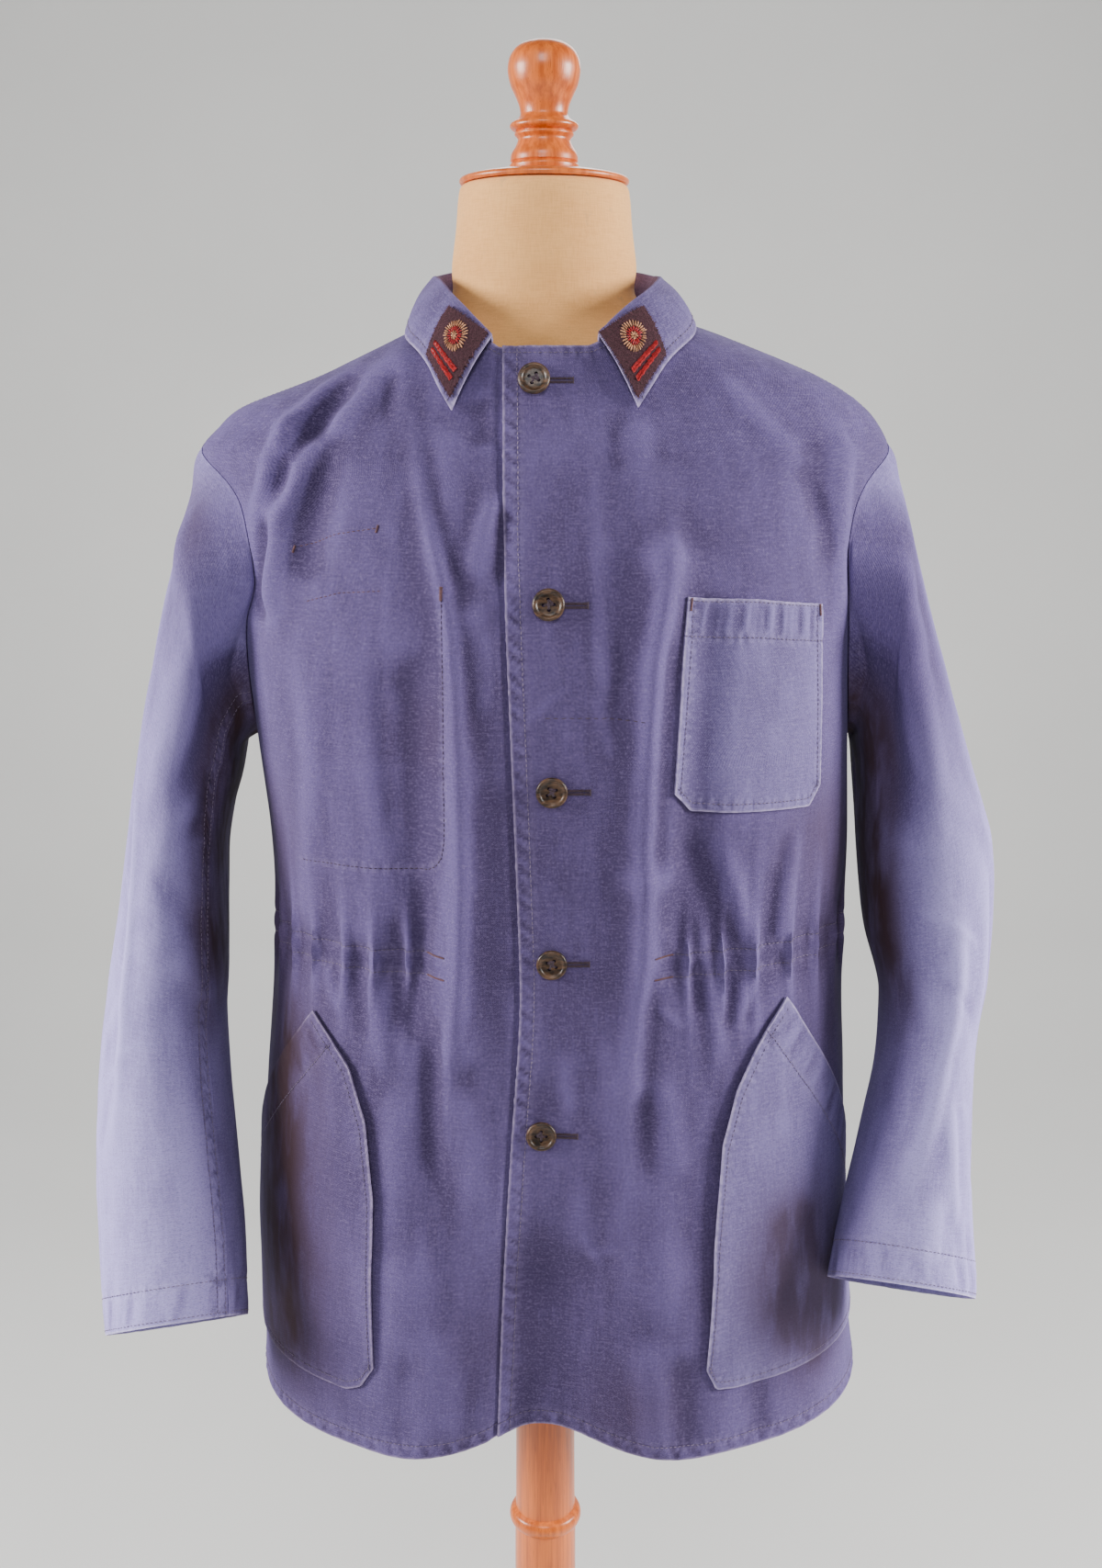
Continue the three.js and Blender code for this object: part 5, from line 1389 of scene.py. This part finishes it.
@dataclass
class Sleeve:
    """A two-piece sleeve hung from its armhole.

    Attributes:
        name: left or right, as worn.
        side: 1 towards +X, -1 towards -X.
        table: Its sections.
        body: The body that it is sewn to.
    """

    name: str
    side: int
    table: Table
    body: BodyShape
    rows: int = 190
    front_seam: float = 0.1188
    back_seam: float = 0.7856

    def loop(self, share: np.ndarray) -> np.ndarray:
        """Points of the armhole edge, from the armpit up the front and down the back."""
        share = share % 1.0
        z = ARMPIT + (TIP - ARMPIT) * (1 - np.cos(2 * math.pi * share)) / 2
        front = share < 0.5
        turn = np.where(front, self.body.seam_turn(z, "front"), 180 - self.body.seam_turn(z, "back"))
        height = np.where(front, self.body.row_height(z, np.abs(turn)), z)
        return self.body.point(self.side * turn, height)

    def section(self, t: float, angle: np.ndarray) -> np.ndarray:
        """Points of one of the table's sections."""
        row = {name: float(self.table.at(t, name)) for name in self.table.names[1:]}
        out = np.array([self.side * row["outX"], row["mid"], row["outZ"]])
        inner = np.array([self.side * row["inX"], row["mid"], row["inZ"]])
        ahead = row["deep"] * np.sin(angle)
        point = (out + inner) / 2 + (out - inner) / 2 * np.cos(angle)[:, None]
        return point + np.stack([0 * ahead, -ahead, row["tilt"] * ahead], -1)

    def surface(self, share: np.ndarray) -> tuple[np.ndarray, np.ndarray]:
        """Points of the sleeve over shares round it.

        Args:
            share: Shares round the sleeve, 0 at the armpit, past the front.

        Returns:
            Points and the height of their creases.
        """
        loop = self.loop(share)
        head = {name: float(self.table.at(2, name)) for name in self.table.names[1:]}
        middle = np.array([0, 0, (head["outZ"] + head["inZ"]) / 2])
        half = (head["outZ"] - head["inZ"]) / 2
        angle = np.arctan2(-(loop[:, 1] - middle[1]) / head["deep"], (loop[:, 2] - middle[2] - 4) / half)
        target = self.section(2, angle)
        first = loop + np.array([self.side * 0.6, 0, 0])
        second = loop + np.array([self.side * 6.0, 0, 0]) + (target - loop) * np.array([0, 0.3, 0.3])
        keys = np.stack([first, second, *(self.section(t, angle) for t in range(2, 14))])
        grid = curve_through(keys, self.rows)
        down, around = np.gradient(grid, axis=0), np.gradient(grid, axis=1)
        normal = unit(np.cross(around, down) * -self.side)
        places = np.broadcast_to(share[None, :], grid.shape[:2])
        high = np.zeros(places.shape)
        for side, wide, tall, *line in SLEEVE_CREASES:
            if side == self.side:
                flat = np.reshape(line, (-1, 2)) * np.array([SLEEVE_GIRTH, 1.0])
                for turned in (places, places - 1):
                    high += tall * crease(turned * SLEEVE_GIRTH, grid[..., 2], flat, wide)
        high += 0.8 * wander(places * 30 + grid[..., 2] * 0.03, 1.0 + self.side) * wander(grid[..., 2] * 0.05, 0.3)
        calm = smooth_step(0, 12, np.arange(self.rows))[:, None]
        grid = grid + normal * (high * calm)[..., None]
        return grid, high

    def piece(self, label: str, start: float, end: float, columns: int) -> Sheet:
        """Makes the upper or under piece.

        Args:
            label: upper or under.
            start: Share where it starts.
            end: Share where it ends.
            columns: Its columns.

        Returns:
            The piece.
        """
        wide = np.linspace(start, end, columns)
        grid, high = self.surface(wide)
        length = np.concatenate([[0], np.cumsum(np.linalg.norm(np.diff(grid, axis=0), axis=-1).mean(1))])
        cloth = np.stack(np.broadcast_arrays(wide[None, :] * 330, -length[:, None]), -1)
        if self.side > 0:
            grid, cloth, high = grid[::-1], cloth[::-1], high[::-1]
        sheet = Sheet(f"sleeve_{self.name}_{label}", np.array(grid), np.array(cloth), WALL, "", high)
        cuff = "bottom" if self.side > 0 else "top"
        sheet.edges = cuff
        sheet.ripple(cuff, 25, 0.9, 12.0, 0.2, self.side)
        sheet.sew(sheet.inset(cuff, 25))
        sheet.sew(sheet.inset(cuff, 3), worn=0.4)
        if label == "upper" and self.side < 0:
            sheet.ripple("left", 9.5, 1.1, 8.0, 0.6, 3.0)
            sheet.sew(sheet.inset("left", 2.5))
            sheet.sew(sheet.inset("left", 9.5))
        sheet.washed, sheet.dirt_and_shade = self.wear(grid, np.broadcast_to(wide[None, :], grid.shape[:2]))
        return sheet

    def wear(self, grid: np.ndarray, share: np.ndarray) -> tuple[np.ndarray, np.ndarray]:
        """Where the sleeve is washed pale, with painted shade on its inner and upper parts and painted light on its
        outer side, and painted shade under the arm.

        Args:
            grid: Its points.
            share: Shares round it, 0 at the armpit, past the front.

        Returns:
            How much dye is lost, with that painted shade and light, and the painted underarm shade with one grime
            spot.
        """
        away = np.abs((share + 0.5) % 1.0 - 0.5)
        z = grid[..., 2]
        top, low = (1260, 1050) if self.side > 0 else (1400, 1020)
        # Partly real fading. The inner and upper sleeve is kept darker as painted shade, and the paler outer side is
        # painted light.
        washed = smooth_step(top, low, z) * (0.25 + 0.75 * smooth_step(0.12, 0.28, away))
        washed += 0.4 * smooth_step(0.34, 0.46, away) * (1 - washed)
        # Painted shade under the arm, carried in the grime mask; the spot at the front of the shoulder is grime.
        under = smooth_step(0.20, 0.12, away) * smooth_step(960, 1060, z)
        spot = np.exp(-((z - 1352) / 34) ** 2 - ((np.abs(grid[..., 0]) - 232) / 14) ** 2) * (grid[..., 1] < 0)
        return washed, np.clip(under + 0.5 * spot * (self.side < 0), 0, 1)

    def pieces(self) -> list[Sheet]:
        """Makes both pieces."""
        return [self.piece("upper", self.front_seam, self.back_seam, 88),
                self.piece("under", self.back_seam, 1 + self.front_seam, 46)]


@dataclass
class Collar:
    """The one-piece collar with its felt badges."""

    body: BodyShape
    stations: int = 190
    across: int = 44
    left_drop: float = 6.0

    def section(self, turn: np.ndarray) -> np.ndarray:
        """Key points of the collar's sections, from the neckline over the roll to the edge."""
        away = np.where(turn > 180, 360 - turn, turn)
        side = np.where(turn > 180, -1.0, 1.0)
        value = {name: COLLAR.at(away, name) for name in COLLAR.names[1:]}
        signed = side * away
        height = np.where(away > 90, TOP, self.body.row_height(np.full_like(turn, TOP), away))
        base = self.body.point(signed, height)
        outward = unit(self.body.normal(signed, height) * np.array([1, 1, 0]))
        up = np.array([0, 0, 1.0])
        roll_out, roll_up = value["rollOut"][:, None], value["rollUp"][:, None]
        drop = np.where(side < 0, self.left_drop * smooth_step(30, 80, away) * smooth_step(180, 120, away), 0)
        edge_turn, edge_z = side * value["edgeTurn"], value["edgeZ"] - drop
        edge = self.body.point(edge_turn, edge_z) + self.body.normal(edge_turn, edge_z) * value["lift"][:, None]
        start = base + outward * (roll_out + 2.7) + up * (roll_up - 2.2)
        falls = []
        for share in (0.36, 0.7):
            bulge = math.sin(share * math.pi) * 2.2
            falls.append(start * (1 - share) + edge * share + (outward + up) * bulge)
        return np.stack([base - outward + up * 0.7, base + outward * (roll_out - 2.7) + up * (roll_up - 2.2),
                         base + outward * roll_out + up * roll_up, start, *falls, edge])

    def sheet(self) -> Sheet:
        """Makes the collar with its topstitching."""
        first = one_turn(self.body, 34, FRONT_TOP)
        last = 360 + one_turn(self.body, -32, FRONT_TOP)
        turn = np.linspace(first, last, self.stations)
        keys = self.section(turn)
        grid = np.swapaxes(curve_through(keys, self.across), 0, 1)
        width = np.linalg.norm(np.diff(grid, axis=1), axis=-1).sum(1).mean()
        length = np.linalg.norm(np.diff(grid[:, -1], axis=0), axis=-1).sum()
        along, down = np.linspace(0, 1, self.stations)[None, :], np.linspace(0, 1, self.across)[:, None]
        cloth = np.stack(np.broadcast_arrays(along * length, down * width), -1)[::-1]
        grid = np.swapaxes(grid, 0, 1)[::-1]
        high = 1.5 * np.exp(-((np.linspace(1, 0, self.across)[:, None] - 0.36) / 0.08) ** 2) + 0 * grid[..., 0]
        sheet = Sheet("collar", grid, cloth, 1.7, "bottom left right", high, washed=0.14)
        sheet.sew(sheet.inset("bottom", 6.0, 0.01, 0.99))
        sheet.sew(sheet.inset("left", 6.0, 0.0, 0.62))
        sheet.sew(sheet.inset("right", 6.0, 0.0, 0.62))
        return sheet


@dataclass
class Badge:
    """A felt patch with plain bars and a round rosette worked on it.

    Attributes:
        name: left or right, as worn.
        side: 1 towards +X, -1 towards -X.
        collar: The collar that it is sewn to.
    """

    name: str
    side: int
    collar: Sheet
    first: float = 21.5
    last: float = 339.5

    def places(self, corners: Sequence[Place]) -> np.ndarray:
        """Finds places of the collar from turns round the neck and shares across it."""
        rows, columns = self.collar.grid.shape[:2]
        result = []
        for turn, share in corners:
            around = turn if self.side > 0 else 360 - turn
            result.append(((1 - share) * (rows - 1), (around - self.first) / (self.last - self.first) * (columns - 1)))
        return np.array(result)

    def build(self, finishes: dict[str, bpy.types.Material]) -> None:
        """Builds the patch and its embroidery.

        Args:
            finishes: Felt, red and gold.
        """
        low = [(22.2, 0.95), (36.5, 0.94)]
        high = [(21.8, 0.50), (38.5, 0.57)]
        low, high = low[::self.side], high[::self.side]
        order = (low, high, [low[0], high[0]], [low[1], high[1]])
        lines = [resample(self.places(line), 30) for line in order]
        for k, line in enumerate(lines):
            ragged = 0.35 * wander(np.arange(30) * 2.9 + k, 3.0) * np.sin(np.linspace(0, math.pi, 30))
            line[:, 0] += ragged * (k < 2)
            line[:, 1] += ragged * (k >= 2)
        patch = self.collar.patch(f"badge_{self.name}", fill(lines, (44, 40)), 0.6, 1.6, "")
        fuzz = 0.35 * wander(np.arange(44)[:, None] * 2.1 + np.arange(40)[None, :] * 1.7, 0.5)
        patch.grid = patch.grid + patch.normals() * fuzz[..., None]
        thing = build_sheet(patch, finishes["felt"])
        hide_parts(f"badge_{self.name}")
        self.embroider(patch, finishes)

    def embroider(self, patch: Sheet, finishes: dict[str, bpy.types.Material]) -> None:
        """Works two straight bars and a rosette of short stitches.

        Args:
            patch: The felt patch.
            finishes: Felt, red and gold.
        """
        rows, columns = patch.grid.shape[:2]
        red, gold = Stitching(f"braid_{self.name}"), Stitching(f"rosette_{self.name}")
        normals = patch.normals()
        for height in (0.31, 0.18):
            for share in np.linspace(0.12, 0.88, 76):
                ends = np.array([[(height - 0.040) * (rows - 1), share * (columns - 1)],
                                 [(height + 0.040) * (rows - 1), (share + 0.008) * (columns - 1)]])
                place, up = patch.sample(ends, patch.grid), patch.sample(ends, normals)[0]
                red.add_stitch(place[0] + up * 0.35, place[1] + up * 0.35, up, 0.42)
        for ring, count, span in ((0.19, 30, 0.05), (0.105, 18, 0.04), (0.04, 8, 0.035)):
            thread = red if ring == 0.105 else gold
            for angle in np.linspace(0, 2 * math.pi, count, endpoint=False):
                reach = np.array([ring - span, ring + span])
                ends = np.stack([(0.67 + math.sin(angle) * reach) * (rows - 1),
                                 (0.5 + math.cos(angle) * reach * 1.15) * (columns - 1)], -1)
                place, up = patch.sample(ends, patch.grid), patch.sample(ends, normals)[0]
                thread.add_stitch(place[0] + up * 0.35, place[1] + up * 0.35, up, 0.5)
        red.build(finishes["red"])
        gold.build(finishes["gold"])
        fringe = Stitching(f"fringe_{self.name}")
        border = [(r, c, down, 0) for r, down in ((0, -1), (rows - 1, 1)) for c in np.linspace(0, columns - 1, 60)]
        border += [(r, c, 0, out) for c, out in ((0, -1), (columns - 1, 1)) for r in np.linspace(0, rows - 1, 60)]
        for k, (r, c, down, across) in enumerate(border):
            sway = 0.9 * math.sin(k * 2.1)
            ends = np.array([[r - 2 * down, c - 2 * across], [r, c]])
            place, up = patch.sample(ends, patch.grid), patch.sample(ends, normals)[0]
            out = unit(place[1] - place[0])
            tip = place[1] + (out + np.cross(up, out) * sway * 0.5) * (1.1 + 0.9 * math.sin(k * 3.7) ** 2)
            fringe.add_stitch(place[0] - up * 0.5, tip - up * (0.6 + 0.5 * math.sin(k * 1.3)), up, 0.17)
        fringe.build(finishes["felt"])


def ring_faces(rows: int, columns: int) -> list[tuple[int, ...]]:
    """Faces of closed rings of points, with the middle points of both ends last.

    Args:
        rows: Rings.
        columns: Points of each ring.

    Returns:
        The faces.
    """
    faces = []
    for start in range(0, (rows - 1) * columns, columns):
        for k in range(columns):
            a, b = start + k, start + (k + 1) % columns
            faces.append((a, b, b + columns, a + columns))
    last, middle = (rows - 1) * columns, rows * columns
    faces += [((k + 1) % columns, k, middle) for k in range(columns)]
    faces += [(last + k, last + (k + 1) % columns, middle + 1) for k in range(columns)]
    return faces


def turned_solid(name: str, profile: Sequence[Place], segments: int = 72) -> bpy.types.Object:
    """Turns a closed profile about the column's axis.

    Args:
        name: The piece's name.
        profile: Radii and heights, from axis to axis.
        segments: Steps round the axis.

    Returns:
        The object.
    """
    middle = np.array(profile[1:-1], float)
    angle = np.linspace(0, 2 * math.pi, segments, endpoint=False)
    ring = np.stack([np.cos(angle), np.sin(angle)], -1)
    points = np.concatenate([np.concatenate([ring * radius, np.full((segments, 1), z)], 1) for radius, z in middle])
    points = np.concatenate([points, [[0, 0, profile[0][1]], [0, 0, profile[-1][1]]]])
    return new_object(name, points, ring_faces(len(middle), segments), 32)


def rounded_profile(rows: Sequence[Place], steps: int = 6) -> list[Place]:
    """Smooths a turned profile by running a soft curve through its points."""
    keys = np.array(rows, float)
    return [tuple(point) for point in curve_through(keys, (len(keys) - 1) * steps + 1)]


@dataclass
class Stand:
    """The wooden column, base, neck cap and finial."""

    def build(self, wood: bpy.types.Material, board: bpy.types.Material) -> None:
        """Builds the turned pieces.

        Args:
            wood: The finish of the upright pieces.
            board: The finish of the base.
        """
        finial = [(0, 1571.7), (22.3, 1571.7), *rounded_profile([
            (22.6, 1572.6), (22.7, 1574.6), (21.2, 1576)], 4), *rounded_profile([
                (22.3, 1577), (21.6, 1581.5), (18.6, 1586.5), (17.3, 1590.5), (19.2, 1593), (19.3, 1594.4),
                (18.3, 1595.2), (20.6, 1596.2), (22.4, 1598), (21.8, 1600.3), (18, 1602.6), (15.9, 1604.8),
                (15.6, 1607.4), (16.6, 1612), (19.2, 1618), (22, 1624), (23.6, 1631), (23.5, 1636.5),
                (21.8, 1642), (18, 1646.8), (12, 1649.9), (5, 1650.9)], 5), (0, 1651)]
        cap = [(0, 1562.4), (55, 1562.4), *rounded_profile([
            (55.6, 1562.9), (56, 1564.2), (55, 1566), (50, 1567.4), (40, 1569.2), (24, 1570.9)], 4), (0, 1571.3)]
        column = [(0, 44.4), (30, 44.4), *rounded_profile([
            (30, 46), (30, 56), (27, 64), (25, 80), (24.4, 120), (24, 518), (23.6, 556)], 3), *rounded_profile([
                (24.4, 557), (26.8, 559.4), (28.2, 564), (26.9, 568.6), (24.2, 571)], 5),
            (23.3, 571.6), (23, 618), (22, 811.6), (0, 811.6)]
        base = [(0, 0), (186, 0), *rounded_profile([
            (188, 1), (190, 5), (190, 13), (188, 18), (182, 21.5), (168, 24.6), (120, 28.6), (76, 32.4), (50, 35.6),
            (42, 39), (40, 43)], 4), (39, 44), (0, 44)]
        for name, profile in (("finial", finial), ("neck_cap", cap), ("column", column), ("base", base)):
            piece = turned_solid(f"turned_{name}", profile)
            piece.data.materials.append(board if name == "base" else wood)
            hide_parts(name)


@dataclass
class DressForm:
    """The linen-covered bust."""

    columns: int = 96

    def loop(self, z: np.ndarray) -> np.ndarray:
        """Level loops of the form."""
        angle = np.linspace(0, 2 * math.pi, self.columns, endpoint=False)[None, :]
        across, ahead = np.sin(angle), np.cos(angle)
        value = {name: NECK_LINEN.at(z, name)[:, None] for name in NECK_LINEN.names[1:]}
        side = np.where(across < 0, value["left"], value["right"])
        depth = np.where(ahead > 0, value["front"], value["back"])
        reach = 1 / np.hypot(across / side, ahead / depth)
        return np.stack([reach * across, -reach * ahead, z[:, None] + 0 * reach], -1)

    def build(self, linen: bpy.types.Material) -> None:
        """Builds the form with its rounded top edge.

        Args:
            linen: Its cover.
        """
        z = np.concatenate([np.arange(812, 1400, 9.0), np.arange(1400, 1552, 3.0)])
        body = self.loop(z)
        top = self.loop(np.array([1552.0]))[0]
        rings = [body]
        for far, height in ((0.2, 1554), (0.5, 1556.5), (1.0, 1558.6), (1.9, 1560.4), (3.2, 1561.6), (5, 1562),
                            (30, 1562)):
            scale = (56.6 - far) / 56.8
            rings.append((top * np.array([scale, scale, 0]) + np.array([0, 0, height]))[None])
        points = np.concatenate(rings)
        points[..., :2] *= (1 + 0.0016 * wander(points[..., 2] * 0.06, 1.0))[..., None]
        flat = np.concatenate([points.reshape(-1, 3), [[0, 0, 812], [0, 0, 1562]]])
        piece = new_object("linen_form", flat, ring_faces(len(points), self.columns), 50)
        piece.data.materials.append(linen)
        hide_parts("form_bust")


@dataclass
class Buttons:
    """Five rimmed buttons with four holes, sewn on, and their buttonholes."""

    body: BodyShape
    places: tuple[Place, ...] = ((-6, 1436), (3, 1301), (5, 1184), (5, 1068), (-2, 949))
    pitch: float = 2.3
    hole: float = 1.1
    steps: int = 28

    def disc(self) -> bpy.types.Mesh:
        """Makes one button lying flat, with its holes cut through."""
        profile = [(0, 0), (8.2, 0), *rounded_profile([(9.2, 0.5), (10, 1.5), (9.9, 2.6), (9.1, 3.4), (8.3, 3.45),
                                                       (7.5, 3.0), (6.8, 2.4), (5.6, 2.1)], 3), (0, 2.1)]
        piece = turned_solid("button_blank", profile, 48)
        cutters = []
        for right, up in ((1, 1), (-1, 1), (-1, -1), (1, -1)):
            hole = turned_solid("button_hole", [(0, -2), (self.hole, -2), (self.hole, 6), (0, 6)], 16)
            hole.data.transform(shift(right * self.pitch, up * self.pitch))
            cut = piece.modifiers.new("hole", "BOOLEAN")
            cut.object, cut.operation, cut.solver = hole, "DIFFERENCE", "EXACT"
            cutters.append(hole)
        bpy.context.view_layer.update()
        mesh = bpy.data.meshes.new_from_object(piece.evaluated_get(bpy.context.evaluated_depsgraph_get()))
        for thing in (piece, *cutters):
            bpy.data.objects.remove(thing)
        mesh.set_sharp_from_angle(angle=math.radians(40))
        return mesh

    def build(self, horn: bpy.types.Material, threads: dict[Thread, bpy.types.Material], front: Sheet,
              find: Callable[[Sheet, list[Place]], np.ndarray]) -> None:
        """Builds the buttons, their threads and the buttonholes.

        Args:
            horn: The buttons' material.
            threads: The sewing threads.
            front: The front that carries them.
            find: Finds places of that front.
        """
        blank = self.disc()
        for i, (x, z) in enumerate(self.places):
            low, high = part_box(f"button_{i + 1}")
            turn = self.body.turn_at(np.array(float(x)), np.array(float(z)))
            normal = self.body.normal(turn, np.array(float(z)))
            middle = np.array((low + high) / 2) / MM - normal * 1.75
            mesh = blank.copy()
            spin = Vector((0, 0, 1)).rotation_difference(Vector(normal)).to_matrix().to_4x4()
            spin = spin @ Matrix.Rotation(0.35 + 0.5 * i, 4, "Z")
            mesh.transform(spin)
            mesh.transform(shift(*middle))
            piece = link(f"sewn_button_{i + 1}", mesh)
            mesh.materials.clear()
            mesh.materials.append(horn)
            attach(piece, ROOT)
            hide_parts(f"button_{i + 1}")
            work = Stitching(f"button_thread_{i + 1}")
            self.sew_on(work, spin, middle, normal)
            self.buttonhole(work, front, find(front, [(x + 7 + k * 0.62, z - 0.5) for k in range(self.steps)]))
            work.build(threads[Thread.PURPLE])

    def sew_on(self, work: Stitching, turn: Matrix, middle: np.ndarray, normal: np.ndarray) -> None:
        """Sews one button on.

        Args:
            work: Takes the stitches.
            turn: The button's rotation.
            middle: The middle of its underside.
            normal: Its outward direction.
        """
        for a, b in (((1, 1), (-1, -1)), ((1, -1), (-1, 1)), ((1, 1), (1, -1))):
            ends = [turn @ Vector((p[0] * self.pitch, p[1] * self.pitch, 2.1)) for p in (a, b)]
            for aside in (-0.3, 0.3):
                side = unit(np.cross(normal, np.array(ends[1] - ends[0]))) * aside
                work.add_stitch(middle + np.array(ends[0]) + side, middle + np.array(ends[1]) + side, normal, 0.42)

    def buttonhole(self, work: Stitching, front: Sheet, spots: np.ndarray) -> None:
        """Works the outer end of a buttonhole.

        Args:
            work: Takes the stitches.
            front: The front.
            spots: Places along the buttonhole.
        """
        path, up = front.sample(spots, front.grid), front.sample(spots, front.normals())
        for k, (place, out) in enumerate(zip(path, up)):
            along = path[min(k + 1, self.steps - 1)] - path[max(k - 1, 0)]
            side = unit(np.cross(out, along))
            for edge in (-1, 1):
                start = place + side * edge * 0.25 + out * 0.35
                work.add_stitch(start, place + side * edge * (1.9 + 0.3 * math.sin(k * 2.7)) + out * 0.25, out, 0.42)
        along = path[-1] - path[-3]
        side = unit(np.cross(up[-1], along))
        for k in range(-3, 4):
            start = path[-1] + side * k * 0.6 + up[-1] * 0.4
            work.add_stitch(start, start + along * 1.1, up[-1], 0.45)


def shift(x: float, y: float, z: float = 0.0) -> Matrix:
    """A move in millimetres, as a matrix in metres."""
    return Matrix.Translation(Vector((x * MM, y * MM, z * MM)))


@dataclass
class Studio:
    """Pale floor and wall, soft lights and the camera."""

    camera_place: tuple[float, float, float] = (0.0045, -1.140, 1.416)
    camera_tilt: float = 77.2
    lens: float = 37.54

    def build(self) -> None:
        """Builds the studio."""
        paper = StudioPaper().make("studio_paper")
        points, faces = [], []
        profile = [(-4.0, 0.0), (1.6, 0.0), (2.1, 0.05), (2.5, 0.22), (2.75, 0.55), (2.85, 1.0), (2.85, 5.0)]
        for i, (y, z) in enumerate(profile):
            points += [(-5.0, y, z - 0.0006), (5.0, y, z - 0.0006)]
            if i:
                faces.append((2 * i - 2, 2 * i - 1, 2 * i + 1, 2 * i))
        mesh = bpy.data.meshes.new("studio_sweep")
        mesh.from_pydata(points, [], faces)
        mesh.polygons.foreach_set("use_smooth", [True] * len(mesh.polygons))
        mesh.materials.append(paper)
        link("studio_sweep", mesh)
        self.light("left", (-2.3, -0.50, 1.8), 0.9, 100, (1.0, 0.985, 0.96))
        self.light("right", (2.3, -0.36, 1.75), 0.9, 106, (1.0, 0.985, 0.96))
        self.light("front", (-0.2, -2.3, 2.9), 1.1, 34, (1.0, 1.0, 1.0))
        self.light("back", (0.3, 2.0, 2.6), 1.2, 20, (1.0, 1.0, 1.0))
        world = bpy.data.worlds.new("studio_world")
        world.use_nodes = True
        colour, strength = world.node_tree.nodes["Background"].inputs[:2]
        colour.default_value, strength.default_value = (0.82, 0.85, 0.9, 1), 0.13
        bpy.context.scene.world = world
        camera = link("camera", bpy.data.cameras.new("camera"))
        camera.data.lens = self.lens
        camera.location = self.camera_place
        camera.rotation_euler = (math.radians(self.camera_tilt), 0, 0)
        bpy.context.scene.camera = camera

    def light(self, name: str, place: tuple[float, float, float], size: float, power: float,
              colour: Colour) -> None:
        """Adds one soft light that points at the jacket.

        Args:
            name: The light's name.
            place: Where it hangs.
            size: How wide it is.
            power: Watts.
            colour: Its tint.
        """
        data = bpy.data.lights.new(name, "AREA")
        data.size, data.energy, data.color = size, power, colour
        lamp = link(name, data)
        lamp.location = place
        lamp.rotation_euler = (Vector(place) - Vector((0, 0, 1.15))).to_track_quat("Z", "Y").to_euler()


def cut_size(sheet: Sheet) -> Place:
    """Flat width and length of a sheet, in metres."""
    across = np.linalg.norm(np.diff(sheet.grid, axis=1), axis=-1).sum(1)
    down = np.linalg.norm(np.diff(sheet.grid, axis=0), axis=-1).sum(0)
    return round(float(across.max()) * MM, 3), round(float(down.max()) * MM, 3)


def main() -> None:
    """Builds the jacket, its form and its stand, and reports each piece."""
    logging.basicConfig(level=logging.INFO, format="%(message)s")
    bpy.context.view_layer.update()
    cloth = DrillCloth().make("washed_drill")
    threads = {thread: SewingThread(thread).make(f"thread_{thread.name.lower()}") for thread in Thread}
    body = JacketBody()
    body.lay()
    body.lines()
    body.pockets()
    body.hidden()
    collar = Collar(body.shape).sheet()
    pieces = [*body.sheets.values(), collar]
    for name, side, table in (("left", 1, SLEEVE_RIGHT_SIDE), ("right", -1, SLEEVE_LEFT_SIDE)):
        pieces += Sleeve(name, side, table, body.shape).pieces()
    for sheet in pieces:
        thing = build_sheet(sheet, cloth)
        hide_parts(sheet.name)
        sew_sheet(sheet, threads)
        LOG.info("%s: cut %s m, %d seams", sheet.name, cut_size(sheet), len(sheet.seams))
    finishes = {"felt": WoolFelt().make("dark_felt"), "red": SatinStitch((0.50, 0.018, 0.022)).make("red_braid"),
                "gold": SatinStitch((0.62, 0.30, 0.16), 0.25).make("rosette_thread")}
    for name, side in (("left", 1), ("right", -1)):
        Badge(name, side, collar).build(finishes)
    LOG.info("badges built")
    Buttons(body.shape).build(DarkHorn().make("dark_horn"), threads, body.sheets["front_left"], body.places)
    LOG.info("buttons built")
    DressForm().build(PlainLinen().make("plain_linen"))
    Stand().build(VarnishedWood().make("turned_wood"), VarnishedWood(lying=True).make("turned_wood_base"))
    LOG.info("form and stand built")
    Studio().build()


if __name__ == "__main__":
    main()
